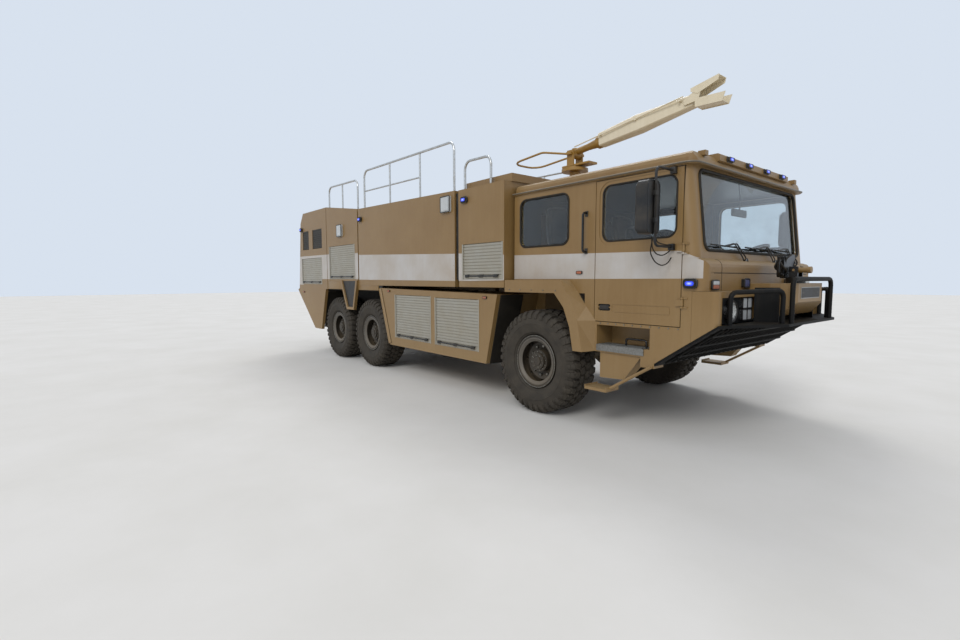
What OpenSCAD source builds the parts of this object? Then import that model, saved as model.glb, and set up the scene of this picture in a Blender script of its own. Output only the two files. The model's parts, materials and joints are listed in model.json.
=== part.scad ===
// Airport fire truck with six driven wheels, a roof monitor and a bumper monitor.
// X points forward, Y to the truck's left, Z up from the ground.
// Places along the truck are measured from the front axle.

/* [Overall] */
// Reach of the bull bar ahead of the front axle
front_reach = 2440; // [2400:1:2600]
// Reach of the tail behind the front axle
rear_reach = 7900; // [7800:1:8100]
// Half the width of the cab
cab_half = 1325; // [1300:1:1350]
// How far the body behind the cab stands out past the cab on each side
body_flare = 140; // [125:1:150]

/* [Wheels] */
// Radius of a tyre, out to its lugs
tyre_r = 620; // [600:1:640]
// Width of a tyre
tyre_w = 450; // [400:1:460]
// Half the distance between the tyres' middles on one axle
track_half = 1250; // [1240:1:1260]
// Radius of the rim's bead seat
rim_r = 300; // [280:1:310]
// Middle axle's place behind the front axle
middle_axle_back = 4200; // [4150:1:4250]
// Rear axle's place behind the front axle
rear_axle_back = 5630; // [5600:1:5660]
// Radius of a stub spindle
spindle_r = 60; // [50:1:70]
// Radius of the steering kingpin
kingpin_r = 30; // [25:1:35]

/* [Chassis] */
// Top of the two main rails
rail_top = 1110; // [1080:1:1115]
// Height of a main rail
rail_h = 240; // [200:1:250]
// Width of a main rail
rail_w = 80; // [60:1:90]
// Half the distance between the rails' middles
rail_half = 430; // [400:1:450]
// Radius of an axle beam
axle_r = 85; // [70:1:95]

/* [Cab] */
// Thickness of the cab's walls and doors
wall = 60; // [40:1:70]
// Height of the drip gutter along the roof
gutter_z = 2665; // [2640:1:2700]
// Height of the roof's crown
roof_z = 2800; // [2770:1:2850]
// Cab rear wall's place ahead of the front axle
cab_rear = -480; // [-500:1:-470]
// Front panel's place ahead of the front axle
cab_front = 1985; // [1950:1:2000]
// Door's rear edge
door_rear = 780; // [770:1:790]
// Door's front edge
door_front = 1755; // [1740:1:1760]
// Door's lower edge
door_bottom = 1155; // [1150:1:1170]
// Door's upper edge
door_top = 2625; // [2600:1:2630]
// Gap round a door
door_gap = 8; // [6:1:10]
// Lower edge of the side windows
window_bottom = 1995; // [1950:1:2050]
// Upper edge of the side windows
window_top = 2565; // [2500:1:2580]

/* [Body] */
// Top of the engine bay
bay_top = 3115; // [3050:1:3150]
// Top of the tank body at its front
tank_top = 2840; // [2800:1:2900]
// Lower edge of the tank body's sides
tank_bottom = 1495; // [1470:1:1510]
// Side top of the front locker body
front_body_top = 2830; // [2800:1:2860]
// Lower edge of the side lockers
locker_bottom = 480; // [450:1:520]

/* [Monitors] */
// Height of the roof monitor's tilt pin
monitor_z = 3380; // [3350:1:3420]
// Place of the roof monitor's turntable
monitor_x = -630; // [-650:1:-600]
// Lift of the barrel at rest, in degrees
barrel_lift = 7; // [0:1:10]
// Distance from the tilt pin to the barrel's mouth
barrel_len = 1800; // [1700:1:1850]

/* [Hidden] */
$fn = 32;

sand = "#b08a55";
white_paint = "#e4e0da";
grey_metal = "#a9a8a0";
black_paint = "#1b1b1d";
rubber = "#3a3733";

// Half the width of the body behind the cab
body_half = cab_half + body_flare;
// Origin in the middle of the overall length
front_axle_x = (rear_reach - front_reach) / 2;
hub_z = tyre_r;
axle_places = [0, -middle_axle_back, -rear_axle_back];
// Running clearance of a pin in its bore
pin_clear = 0.05;
// Clearance between pieces that only face each other
seat_clear = 0.3;

function unit(v) = v / norm(v);

// Moves a piece from the front axle's frame to the truck's own
module placed() translate([front_axle_x, 0, 0]) children();

// Draws a right-hand piece on the side that is asked for
module on_side(side) {
    if (side == "left") mirror([0, 1, 0]) children();
    else children();
}

// Draws a right-hand piece on both sides
module both_sides() {
    children();
    mirror([0, 1, 0]) children();
}

// Block between two corners
module block(low, high) translate(low) cube(high - low);

// Outline in X and Z, extruded from y0 to y1
module side_plate(points, y0, y1) {
    translate([0, y1, 0]) rotate([90, 0, 0]) linear_extrude(y1 - y0) polygon(points);
}

// Outline in Y and Z, extruded from x0 to x1
module cross_plate(points, x0, x1) {
    translate([x0, 0, 0]) rotate([90, 0, 90]) linear_extrude(x1 - x0) polygon(points);
}

// Rectangle with true arcs at its corners
module rounded_rect(w, h, r) {
    square([w - 2 * r, h], center = true);
    square([w, h - 2 * r], center = true);
    for (i = [-1, 1], j = [-1, 1]) {
        translate([i * (w / 2 - r), j * (h / 2 - r)]) circle(r);
    }
}

// Rounded panel in X and Z, from y0 to y1
module side_panel(x0, x1, z0, z1, r, y0, y1) {
    translate([(x0 + x1) / 2, y1, (z0 + z1) / 2]) rotate([90, 0, 0])
        linear_extrude(y1 - y0) rounded_rect(x1 - x0, z1 - z0, r);
}

// Rounded panel in Y and Z, from x0 to x1
module cross_panel(y0, y1, z0, z1, r, x0, x1) {
    translate([x0, (y0 + y1) / 2, (z0 + z1) / 2]) rotate([90, 0, 90])
        linear_extrude(x1 - x0) rounded_rect(y1 - y0, z1 - z0, r);
}

// Plan of a cab or roof: square rear, rounded front corners
module nose_plan(rear, front, half, r) {
    translate([rear, -half]) square([front - r - rear, 2 * half]);
    translate([rear, -half + r]) square([front - rear, 2 * (half - r)]);
    for (s = [-1, 1]) translate([front - r, s * (half - r)]) circle(r);
}

// Round rod from one point to another
module rod(a, b, r) {
    d = b - a;
    translate(a) rotate([0, acos(d[2] / norm(d)), atan2(d[1], d[0])])
        cylinder(h = norm(d), r = r);
}

// Points that round one corner of a path to a bend, in steps of at most 24 degrees
function bend_points(before, corner, after, bend) =
    let (
        u = unit(corner - before),
        v = unit(after - corner),
        turn = acos(min(1, u * v)),
        n = unit(v - u * (u * v)),
        centre = corner - u * bend * tan(turn / 2) + n * bend,
        steps = ceil(turn / 24)
    )
    [for (k = [0:steps]) centre + bend * (u * sin(turn * k / steps) - n * cos(turn * k / steps))];

// Whole path with each of its inner corners rounded
function rounded_path(path, bend) = [
    path[0],
    for (i = [1:len(path) - 2]) each bend_points(path[i - 1], path[i], path[i + 1], bend),
    path[len(path) - 1]
];

// Direction in which a path runs at one of its points
function along(points, i) =
    unit(points[min(i + 1, len(points) - 1)] - points[max(i - 1, 0)]);

// One ring of a tube: across is a direction that the path never takes
function tube_ring(points, i, across, r) =
    let (
        t = along(points, i),
        b = unit(across - t * (across * t)),
        n = cross(t, b)
    )
    [for (k = [0:tube_sides - 1])
        let (a = 360 * k / tube_sides)
        points[i] + r * (b * cos(a) + n * sin(a))];

tube_sides = 12;

// Triangles between neighbouring rings of points; the rings close on themselves
function skin(rings, sides) = [
    for (i = [0:rings - 2], k = [0:sides - 1])
        let (here = i * sides, next = (k + 1) % sides)
        each [
            [here + k, here + sides + k, here + next],
            [here + next, here + sides + k, here + sides + next]
        ]
];

// Solid through a row of rings with the same number of points, closed at both ends
module loft(rings) {
    sides = len(rings[0]);
    last = len(rings) - 1;
    polyhedron([for (ring = rings) each ring], [
        [for (k = [0:sides - 1]) k],
        each skin(len(rings), sides),
        [for (k = [sides - 1:-1:0]) last * sides + k]
    ]);
}

// Round tube through points, with its corners bent to one radius
module bent_tube(path, bend, r, across) {
    points = len(path) > 2 ? rounded_path(path, bend) : path;
    loft([for (i = [0:len(points) - 1]) tube_ring(points, i, across, r)]);
}

// Body section's outline in Y and Z with its lower middle standing on the rails
module section_block(x0, x1, top_rear, top_front, bottom) {
    side_plate([[x0, bottom], [x1, bottom], [x1, top_front], [x0, top_rear]], -body_half, body_half);
    block([x0, -sump_half, rail_top], [x1, sump_half, bottom]);
}

// Half the width of what stands on the rails
sump_half = 700;

// Chassis

cross_members = [-7620, -6300, -4915, -3500, -2300, -1100, 1000, 1600];
// Places of the bearers under the engine bay and of the pads under the cab
bay_bearers = [-7600, -6280];
cab_pads = [850, 1700];

// Top of the slanted belly plate at a place along the truck
function belly_z(x) = 774 + (x - 1505) * 0.6825;
belly_front = 2112;

// Tow eye at the tail: middle of its bore, bore radius, half width, bottom and top
tow_eye_x = -7800;
tow_bore_r = 25;
tow_half = 65;
tow_z = [950, 1010];

module chassis_frame() color(black_paint) placed() {
    difference() {
        union() {
            block([tow_eye_x, -tow_half, tow_z[0]], [cross_members[0] + 1, tow_half, tow_z[1]]);
            translate([tow_eye_x, 0, tow_z[0]]) cylinder(h = tow_z[1] - tow_z[0], r = tow_half);
        }
        translate([tow_eye_x, 0, tow_z[0] - 1]) cylinder(h = tow_z[1] - tow_z[0] + 2, r = tow_bore_r);
    }
    rail_low = rail_top - rail_h;
    rail_front = 1860;
    rail_rear = -7700;
    slant_x = 1505 + (rail_low - seat_clear - 774) / 0.6825;
    both_sides() side_plate([
        [rail_rear, rail_low], [slant_x, rail_low], [rail_front, belly_z(rail_front) + seat_clear],
        [rail_front, rail_top], [rail_rear, rail_top]
    ], -rail_half - rail_w / 2, -rail_half + rail_w / 2);
    for (x = cross_members) {
        block([x - 40, -rail_half, rail_low + 30], [x + 40, rail_half, rail_top - 30]);
    }
    for (x = bay_bearers) {
        block([x - 50, -body_half + wall, bay_bottom - 70], [x + 50, body_half - wall, bay_bottom]);
        both_sides() block([x - 50, -rail_half - 40, rail_top], [x + 50, -rail_half + 40, bay_bottom - 70]);
    }
    for (x = cab_pads) both_sides() translate([x, -rail_half, rail_top])
        cylinder(h = floor_z - floor_t - rail_top, r = 38);
}

// Steered and driven axle beams with their differential housings
diff_r = 200;
kingpin_in = 270;
kingpin_y = track_half - kingpin_in;
eye_r = 70;
eye_half = 110;

// Reach of the flanges that the drive shafts bolt to
flange_x = diff_r + 30;

module axle_beam(x, end_y) {
    rod([x, -end_y, hub_z], [x, end_y, hub_z], axle_r);
    translate([x, 0, hub_z]) sphere(diff_r);
    rod([x - flange_x, 0, hub_z], [x + flange_x, 0, hub_z], 75);
}

// Distance from a wheel's middle to the inner and outer ends of its hub
hub_in = 60;
hub_out = 95;

module axles() color(black_paint) placed() {
    difference() {
        union() {
            axle_beam(0, kingpin_y);
            both_sides() translate([0, -kingpin_y, hub_z - eye_half]) cylinder(h = 2 * eye_half, r = eye_r);
        }
        both_sides() translate([0, -kingpin_y, hub_z - eye_half - 1])
            cylinder(h = 2 * eye_half + 2, r = kingpin_r);
    }
    for (x = [-middle_axle_back, -rear_axle_back]) {
        axle_beam(x, track_half - hub_in - 40);
        both_sides() rod([x, -track_half + hub_in + 40, hub_z],
            [x, -track_half - hub_out + 5, hub_z], spindle_r - pin_clear);
    }
}

// Leaf springs: two above the front axle, two over both rear axles
leaf_t = 22;

module leaf_pack(x, lengths, bottom, w) {
    for (i = [0:len(lengths) - 1]) {
        block([x - lengths[i] / 2, -rail_half - w / 2, bottom + i * leaf_t],
            [x + lengths[i] / 2, -rail_half + w / 2, bottom + (i + 1) * leaf_t]);
    }
}

module springs() color(black_paint) placed() {
    axle_top = hub_z + axle_r;
    rail_low = rail_top - rail_h;
    bogie_x = -(middle_axle_back + rear_axle_back) / 2;
    bogie_len = rear_axle_back - middle_axle_back + 160;
    both_sides() {
        block([-90, -rail_half - 45, axle_top], [90, -rail_half + 45, axle_top + 50]);
        leaf_pack(0, [700, 1000, 1300], axle_top + 50, 80);
        for (x = [-600, 600]) {
            block([x - 45, -rail_half - 35, axle_top + 50 + 3 * leaf_t], [x + 45, -rail_half + 35, rail_low]);
        }
        leaf_pack(bogie_x, [bogie_len, bogie_len - 300, bogie_len - 600], axle_top, 80);
        block([bogie_x - 120, -rail_half - 40, axle_top + 3 * leaf_t],
            [bogie_x + 120, -rail_half + 40, rail_low]);
    }
}

// Transfer box between the rails and the shafts that leave it
module drive_shafts() color("#4a4640") placed() {
    box_x = -2600;
    box_half = 260;
    shaft_r = 45;
    block([box_x - box_half, -250, hub_z - 80], [box_x + box_half, 250, 950]);
    rod([-flange_x - seat_clear, 0, hub_z], [box_x + box_half - 1, 0, hub_z], shaft_r);
    rod([box_x - box_half + 1, 0, hub_z], [-middle_axle_back + flange_x + seat_clear, 0, hub_z], shaft_r);
    rod([-middle_axle_back - flange_x - seat_clear, 0, hub_z],
        [-rear_axle_back + flange_x + seat_clear, 0, hub_z], shaft_r);
}

module engine_block() color("#55524c") placed()
    block([-7450, -400, rail_top], [-6450, 400, 1950]);

// Wheels

// Half of a tyre's section, and how deep it dips between two lugs
tyre_section = [
    // place across, radius, dip
    [150, rim_r, 0], [190, rim_r + 45, 0], [tyre_w / 2, rim_r + 165, 0],
    [214, tyre_r - 70, 12], [186, tyre_r - 10, 30], [80, tyre_r, 3]
];
tyre_steps = 40;

// Section of a tyre at one step round it: lugs of the two shoulders alternate
function tyre_ring(step) = [
    for (side = [1, -1], i = [0:len(tyre_section) - 1])
        let (
            p = tyre_section[side > 0 ? i : len(tyre_section) - 1 - i],
            dip = (step + (side > 0 ? 0 : 1)) % 2 * p[2],
            r = (p[1] - dip) / cos(180 / tyre_steps),
            a = 360 * (step + 0.5) / tyre_steps
        )
        [r * sin(a), side * p[0], -r * cos(a)]
];

module tyre(place, side) color(rubber) at_wheel(place, side) {
    sides = 2 * len(tyre_section);
    polyhedron([for (i = [0:tyre_steps - 1]) each tyre_ring(i)],
        [for (f = skin(tyre_steps + 1, sides)) [for (p = f) p % (tyre_steps * sides)]]);
}

module wheel_turned() rotate([-90, 0, 0]) rotate_extrude($fn = 96) children();

module at_wheel(place, side) placed() on_side(side) translate([place, -track_half, hub_z]) children();

// Rim with its well, dished disc and stepped planetary hub; y runs towards the truck's middle
rim_holes = 8;
rim_half = 180;

module rim(place, side) color("#8d8676") at_wheel(place, side) difference() {
    wheel_turned() difference() {
        union() {
            translate([rim_r - 14, -rim_half]) square([14 - seat_clear, 2 * rim_half]);
            for (a = [-rim_half, rim_half - 12]) translate([rim_r - 14, a]) square([32, 12]);
            polygon([[110, -20], [225, -62], [rim_r - 10, -40], [rim_r - 10, -18], [225, -36], [110, 10]]);
            translate([0, -hub_out - 20]) square([130, hub_in + hub_out + 20]);
            translate([0, -hub_out - 45]) square([96, 60]);
            translate([0, -hub_out - 56]) square([48, 60]);
        }
        translate([-1, -hub_out]) square([spindle_r + 1, hub_in + hub_out + 1]);
    }
    for (i = [0:rim_holes - 1]) rotate([0, 360 * i / rim_holes, 0]) translate([252, -100, 0])
        rotate([-90, 0, 0]) cylinder(h = 120, r = 22);
}

// Steering knuckle: fork round the axle's eye, kingpin and stub spindle
module knuckle(side) color("#4a4640") placed() on_side(side) translate([0, -kingpin_y, hub_z]) {
    ear_t = 30;
    ear_gap = 5;
    cylinder(h = 2 * (eye_half + ear_gap + ear_t), r = kingpin_r - pin_clear, center = true);
    for (s = [-1, 1]) {
        translate([0, 0, s * (eye_half + ear_gap + ear_t / 2)]) {
            cylinder(h = ear_t, r = eye_r - 10, center = true);
            translate([-50, -eye_r - 40, -ear_t / 2]) cube([100, eye_r + 40, ear_t]);
        }
    }
    translate([-50, -eye_r - 70, -eye_half - ear_gap - ear_t])
        cube([100, 50, 2 * (eye_half + ear_gap + ear_t)]);
    translate([0, -eye_r - 60, 0]) rotate([90, 0, 0])
        cylinder(h = kingpin_in - eye_r - 60 + hub_out - 5, r = spindle_r - pin_clear);
}

// Cab

// Height of the cab floor ahead of the wheels, and over them
floor_z = 1160;
arch_z = 1445;
floor_t = 45;
floor_step_x = 690;
// Front of the cab below the bumper's top, and that top
lower_front = 1864;
bumper_top = 1490;

module cab_floor() color(black_paint) placed() side_plate([
    [cab_rear + wall, arch_z], [floor_step_x - floor_t, arch_z], [floor_step_x - floor_t, floor_z - floor_t],
    [lower_front - wall, floor_z - floor_t], [lower_front - wall, floor_z], [floor_step_x, floor_z],
    [floor_step_x, arch_z + floor_t], [cab_rear + wall, arch_z + floor_t]
], -cab_half + wall + seat_clear, cab_half - wall - seat_clear);

// Windscreen frame's lean: its foot and head ahead of the axle
screen_foot_x = 1895;
screen_head_x = 1800;
screen_foot_z = 1790;

// Side outline of the cab's lower part, whose scuttle rolls over to the screen
corner_r = 90;
scuttle_r = 70;
scuttle_z = screen_foot_z - 8;
cab_outline = [
    [cab_rear, arch_z], [floor_step_x - floor_t, arch_z], [floor_step_x - floor_t, floor_z - floor_t],
    [lower_front, floor_z - floor_t], [lower_front, bumper_top], [cab_front, bumper_top],
    for (a = [0, 22, 45, 68, 90])
        [cab_front - scuttle_r * (1 - cos(a)), scuttle_z - scuttle_r * (1 - sin(a))],
    [screen_foot_x, screen_foot_z], [cab_rear, screen_foot_z]
];
cab_hollow = [
    [cab_rear + wall, arch_z - 1], [floor_step_x - floor_t, arch_z - 1],
    [floor_step_x - floor_t, floor_z - 100], [lower_front - wall, floor_z - 100],
    [lower_front - wall, bumper_top + wall], [cab_front - wall, bumper_top + wall],
    [cab_front - wall, 1700], [screen_foot_x - wall, screen_foot_z - 20],
    [screen_head_x - wall, gutter_z - 10],
    [cab_rear + wall, gutter_z - 10]
];

// Side windows: rear edge, front edge
rear_window = [-370, 400];
door_window = [865, 1690];
window_r = 90;
// Recess round a door's window: width and depth
surround = [42, 6];
// Pressed outline ahead of the handle: rear, front, bottom, top, groove width and depth
pressing = [1000, 1655, 1255, 1340, 7, 3];
glass_t = 8;

module window_cut(span, grow, y0, y1) side_panel(span[0] - grow, span[1] + grow,
    window_bottom - grow, window_top + grow, window_r + grow, y0, y1);

// Windscreen opening, cut square to the leaning screen
screen_half = 1165;
screen_low = 1870;
screen_high = 2615;
screen_lean = atan((screen_foot_x - screen_head_x) / (gutter_z - 25 - screen_foot_z));

module at_screen() translate([screen_foot_x, 0, screen_foot_z]) rotate([0, -screen_lean, 0])
    rotate([90, 0, 90]) children();

module screen_shape(grow) translate([0, (screen_low + screen_high) / 2 - screen_foot_z])
    rounded_rect(2 * (screen_half + grow), screen_high - screen_low + 2 * grow, 80 + grow);

module door_hole(grow) side_plate([
    [door_rear - grow, door_bottom - grow], [door_front + grow, door_bottom - grow],
    [door_front + grow, door_top + grow], [door_rear - grow, door_top + grow]
], -cab_half - 30, -cab_half + wall + 30);

// Grooves pressed into the front panel: seam height, seams at both sides, groove width and depth
front_seam = [1655, 1020, 6, 4];

module cab_solid() {
    intersection() {
        side_plate(cab_outline, -cab_half, cab_half);
        linear_extrude(screen_foot_z + 10) nose_plan(cab_rear, cab_front, cab_half, corner_r);
    }
    intersection() {
        block([cab_rear, -cab_half, screen_foot_z - 1], [screen_foot_x + 10, cab_half, gutter_z - 25]);
        translate([screen_foot_x, 0, screen_foot_z]) rotate([0, -screen_lean, 0])
            translate([0, 0, -200]) linear_extrude(1400) nose_plan(-2800, 0, cab_half, corner_r);
    }
}

module cab_shell() color(sand) placed() {
    difference() {
        cab_solid();
        block([cab_front - front_seam[3], -cab_half + corner_r, front_seam[0]],
            [cab_front + 1, cab_half - corner_r, front_seam[0] + front_seam[2]]);
        both_sides() block([cab_front - front_seam[3], -front_seam[1], bumper_top - 1],
            [cab_front + 1, -front_seam[1] + front_seam[2], scuttle_z - scuttle_r]);
        side_plate(cab_hollow, -cab_half + wall, cab_half - wall);
        both_sides() door_hole(door_gap);
        both_sides() window_cut(rear_window, 0, -cab_half - 1, -cab_half + wall + 1);
        at_screen() translate([0, 0, -wall - 60]) linear_extrude(wall + 160) screen_shape(0);
        block([cab_rear - 1, -900, 2050], [cab_rear + wall + 1, 900, 2450]);
        both_sides() for (z = hinge_zs) translate([hinge_x, hinge_y, z - 5])
            cylinder(h = hinge_h + 10, r = hinge_r + hinge_gap);
    }
    both_sides() hinge_ears();
}

// Door hinges: ears on the pillar hold a pin, a knuckle on the door turns on it
hinge_x = door_front + door_gap + 10;
hinge_y = -cab_half - 8;
hinge_zs = [1350, 1850];
hinge_h = 60;
hinge_pin_r = 8;
// Radius of a hinge knuckle and its clearance in the pillar
hinge_r = 14;
hinge_gap = 3;

module hinge_ears() for (z = hinge_zs) {
    translate([hinge_x, hinge_y, z - 20]) cylinder(h = hinge_h + 40, r = hinge_pin_r - pin_clear);
    for (dz = [-20, hinge_h + 5]) {
        translate([hinge_x, hinge_y, z + dz]) cylinder(h = 15, r = hinge_r);
        block([hinge_x, hinge_y, z + dz], [hinge_x + 50, -cab_half + 10, z + dz + 15]);
    }
}

// Half of the roof's cross section, from the gutter up to the crown
roof_half = [
    // place across, height
    [cab_half - 22, gutter_z - 1], [cab_half - 24, roof_z - 92], [cab_half - 36, roof_z - 60],
    [cab_half - 62, roof_z - 38], [cab_half - 150, roof_z - 22], [cab_half - 520, roof_z - 6], [0, roof_z]
];
eave = 25;
roof_rear = cab_rear - 10;
roof_front = screen_head_x + 35;

module cab_roof() color(sand) placed() {
    intersection() {
        cross_plate([
            for (i = [0:len(roof_half) - 1]) roof_half[i],
            for (i = [len(roof_half) - 2:-1:0]) [-roof_half[i][0], roof_half[i][1]]
        ], roof_rear + 12, roof_front + 20);
        side_plate([
            [roof_rear, gutter_z - 2], [roof_front + 8, gutter_z - 2], [roof_front - 6, gutter_z + 40],
            [roof_front - 40, roof_z - 40], [roof_front - 110, roof_z - 8], [roof_front - 400, roof_z + 1],
            [roof_rear, roof_z + 1]
        ], -cab_half, cab_half);
        translate([0, 0, gutter_z - 5]) linear_extrude(300)
            nose_plan(roof_rear - 1, roof_front + 8, cab_half - 22, corner_r);
    }
    translate([0, 0, gutter_z - 25]) linear_extrude(25)
        nose_plan(roof_rear, roof_front + 28, cab_half + eave, corner_r + 20);
    side_plate([
        [roof_front - 140, roof_z - 40], [roof_front - 8, roof_z - 80], [roof_front + 14, roof_z - 74],
        [roof_front + 14, roof_z - 16], [roof_front - 6, roof_z - 4], [roof_front - 140, roof_z - 4]
    ], -850, 850);
    both_sides() block([roof_front - 60, -1130, roof_z - 62], [roof_front + 10, -1070, roof_z - 18]);
}

module cab_glass() color("#9db4b8", 0.4) placed() {
    at_screen() translate([0, 0, -wall / 2]) linear_extrude(glass_t) screen_shape(-seat_clear);
    both_sides() window_cut(rear_window, -seat_clear, -cab_half + 10, -cab_half + 10 + glass_t);
    block([cab_rear + 20, -900 + seat_clear, 2050 + seat_clear],
        [cab_rear + 20 + glass_t, 900 - seat_clear, 2450 - seat_clear]);
}

// Seats: a column of places, each with cushion, back and pedestal
seat_places = [
    // x, y, floor height
    [1080, -620, floor_z], [1080, 620, floor_z], [1080, 0, floor_z],
    [-60, -700, arch_z + floor_t], [-60, 0, arch_z + floor_t], [-60, 700, arch_z + floor_t]
];

module seats() color("#2f3033") placed() for (p = seat_places) translate([p[0], p[1], p[2]]) {
    block([-180, -150, 0], [180, 150, 300]);
    block([-250, -240, 300], [240, 240, 430]);
    side_plate([[-250, 430], [-110, 430], [-190, 1050], [-300, 1050]], -230, 230);
}

module dashboard() color("#2b2c2e") placed() {
    wheel_at = [1540, 620, 1890];
    side_plate([
        [1640, 1500], [lower_front - wall, 1400], [lower_front - wall, 1740], [1780, 1800],
        [1660, 1800], [1600, 1700]
    ], -cab_half + wall + 5, cab_half - wall - 5);
    translate(wheel_at) rotate([0, -28, 0]) rotate_extrude($fn = 64) translate([225, 0]) circle(14);
    translate(wheel_at) rotate([0, -28, 0]) {
        translate([-225, -15, -8]) cube([450, 30, 16]);
        translate([-15, -225, -8]) cube([30, 450, 16]);
        translate([0, 0, -230]) cylinder(h = 230, r = 35);
    }
}

// Doors

// Cup for the handle: rear, front, bottom, top
handle_cup = [825, 980, 1268, 1340];
handle_z = (handle_cup[2] + handle_cup[3]) / 2;

module door(side) color(sand) placed() on_side(side) {
    difference() {
        side_plate([
            [door_rear, door_bottom], [door_front, door_bottom], [door_front, door_top], [door_rear, door_top]
        ], -cab_half, -cab_half + wall);
        window_cut(door_window, 0, -cab_half - 1, -cab_half + wall + 1);
        window_cut(door_window, surround[0], -cab_half - 1, -cab_half + surround[1]);
        side_panel(handle_cup[0], handle_cup[1], handle_cup[2], handle_cup[3], 20,
            -cab_half - 1, -cab_half + 25);
        difference() {
            side_panel(pressing[0], pressing[1], pressing[2], pressing[3], 20,
                -cab_half - 1, -cab_half + pressing[5]);
            side_panel(pressing[0] + pressing[4], pressing[1] - pressing[4], pressing[2] + pressing[4],
                pressing[3] - pressing[4], 14, -cab_half - 2, -cab_half + pressing[5] + 1);
        }
    }
    rod([handle_cup[0] - 5, -cab_half + 10, handle_z], [handle_cup[1] + 5, -cab_half + 10, handle_z], 8);
    difference() {
        union() for (z = hinge_zs) {
            translate([hinge_x, hinge_y, z]) cylinder(h = hinge_h, r = hinge_r);
            block([door_front - 40, hinge_y - 12, z], [hinge_x, -cab_half + 1, z + hinge_h]);
        }
        for (z = hinge_zs) translate([hinge_x, hinge_y, z - 1]) cylinder(h = hinge_h + 2, r = hinge_pin_r);
    }
}

module door_glass(side) color("#9db4b8", 0.4) placed() on_side(side)
    window_cut(door_window, -seat_clear, -cab_half + 12, -cab_half + 12 + glass_t);

// Upright grab handles on the cab's sides, behind the doors
grab_x = 655;

module grab_handles() color(black_paint) placed() both_sides() bent_tube([
    [grab_x, -cab_half - seat_clear, 1895], [grab_x, -cab_half - 65, 1895], [grab_x, -cab_half - 65, 2315],
    [grab_x, -cab_half - seat_clear, 2315]
], 35, 13, [1, 0, 0]);

// Mirror on two arms that stand out from the door
mirror_y = -1640;

module mirror_assembly(side) color(black_paint) placed() on_side(side) {
    arm_x = 1665;
    arm_r = 12;
    bent_tube([
        [arm_x, -cab_half - seat_clear, 2595], [arm_x, mirror_y, 2595], [arm_x, mirror_y, 1898],
        [arm_x, -cab_half - seat_clear, 1898]
    ], 60, arm_r, [1, 0, 0]);
    cross_panel(mirror_y - 110, mirror_y + 90, 2005, 2475, 45, 1545, arm_x - arm_r - seat_clear);
    cross_panel(mirror_y - 85, mirror_y + 65, 2030, 2450, 30, 1515, 1546);
}

// Body sections behind the cab
//                 rear x,  front x, rear top, front top, bottom
engine_bay_x   = [-rear_reach + 80, -6120];
rear_locker_x  = [-6100, -4640];
tank_x         = [-4600, -1560];
front_body_x   = [-1470, -525];

bay_bottom = 1400;
tail_x = -rear_reach + 100;
// Lower edge of the slanted skirts behind the rear wheels
tail_bottom = 515;

// Louvred openings of the engine bay, on both sides: rear x, front x, bottom, top
vents_at = [[-7500, -7130, 2280, 2700], [-6910, -6370, 2280, 2700]];
recess = 25;

// Louvred opening in the leaning tail: half width, then bottom and top above the bay's lower edge
rear_vent = [1080, 170, 1090];
tail_rise = 1500;
tail_lean = atan(180 / tail_rise);

module at_tail() translate([tail_x, 0, bay_bottom]) rotate([0, tail_lean, 0]) children();

louvre_pitch = 42;
louvre = [[20, 0], [3, 0.75], [3, 0.92], [20, 1]];

// Shallow recesses in both sides, each as long and high as what fills it
module side_recesses(places) both_sides() for (s = places) {
    block([s[0], -body_half - 1, s[2]], [s[1], -body_half + recess, s[3]]);
}

// Panel of equal slats that fills a recess; shape gives depth and part of a pitch along one slat
module slat_panel(s, pitch, shape) {
    slats = round((s[3] - s[2]) / pitch);
    step = (s[3] - s[2]) / slats;
    cross_plate([
        for (k = [0:slats - 1], p = shape) [-body_half + p[0], s[2] + (k + p[1]) * step],
        [-body_half + recess, s[3]], [-body_half + recess, s[2]]
    ], s[0], s[1]);
}

module engine_bay() color(sand) placed() difference() {
    union() {
        side_plate([
            [tail_x, bay_bottom], [engine_bay_x[1], bay_bottom], [engine_bay_x[1], bay_top],
            [tail_x + 350, bay_top], [tail_x + 180, bay_bottom + tail_rise]
        ], -body_half, body_half);
        side_plate([
            [tail_x, bay_bottom], [-rear_reach, bay_bottom - 30], [tail_x + 930, tail_bottom],
            [tail_x + 1300, tail_bottom], [engine_bay_x[1] - 100, bay_bottom]
        ], -body_half, body_half);
    }
    side_plate([
        [tail_x + 80, bay_bottom - 1], [engine_bay_x[1] - wall, bay_bottom - 1],
        [engine_bay_x[1] - wall, bay_top - wall], [tail_x + 320, bay_top - wall],
        [tail_x + 240, bay_top - 235]
    ], -body_half + wall, body_half - wall);
    block([-rear_reach - 1, -body_half + wall, tail_bottom - 15],
        [engine_bay_x[1] + 1, body_half - wall, bay_bottom + 1]);
    side_recesses([shutters_at[0]]);
    side_recesses(vents_at);
    at_tail() block([-1, -rear_vent[0], rear_vent[1]], [recess, rear_vent[0], rear_vent[2]]);
}

module vents() color(black_paint) placed() {
    both_sides() for (s = vents_at) slat_panel(s, louvre_pitch, louvre);
    slats = round((rear_vent[2] - rear_vent[1]) / louvre_pitch);
    step = (rear_vent[2] - rear_vent[1]) / slats;
    at_tail() side_plate([
        for (k = [0:slats - 1], p = louvre) [p[0], rear_vent[1] + (k + p[1]) * step],
        [recess, rear_vent[2]], [recess, rear_vent[1]]
    ], -rear_vent[0], rear_vent[0]);
}

rear_locker_bottom = 1571;

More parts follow.
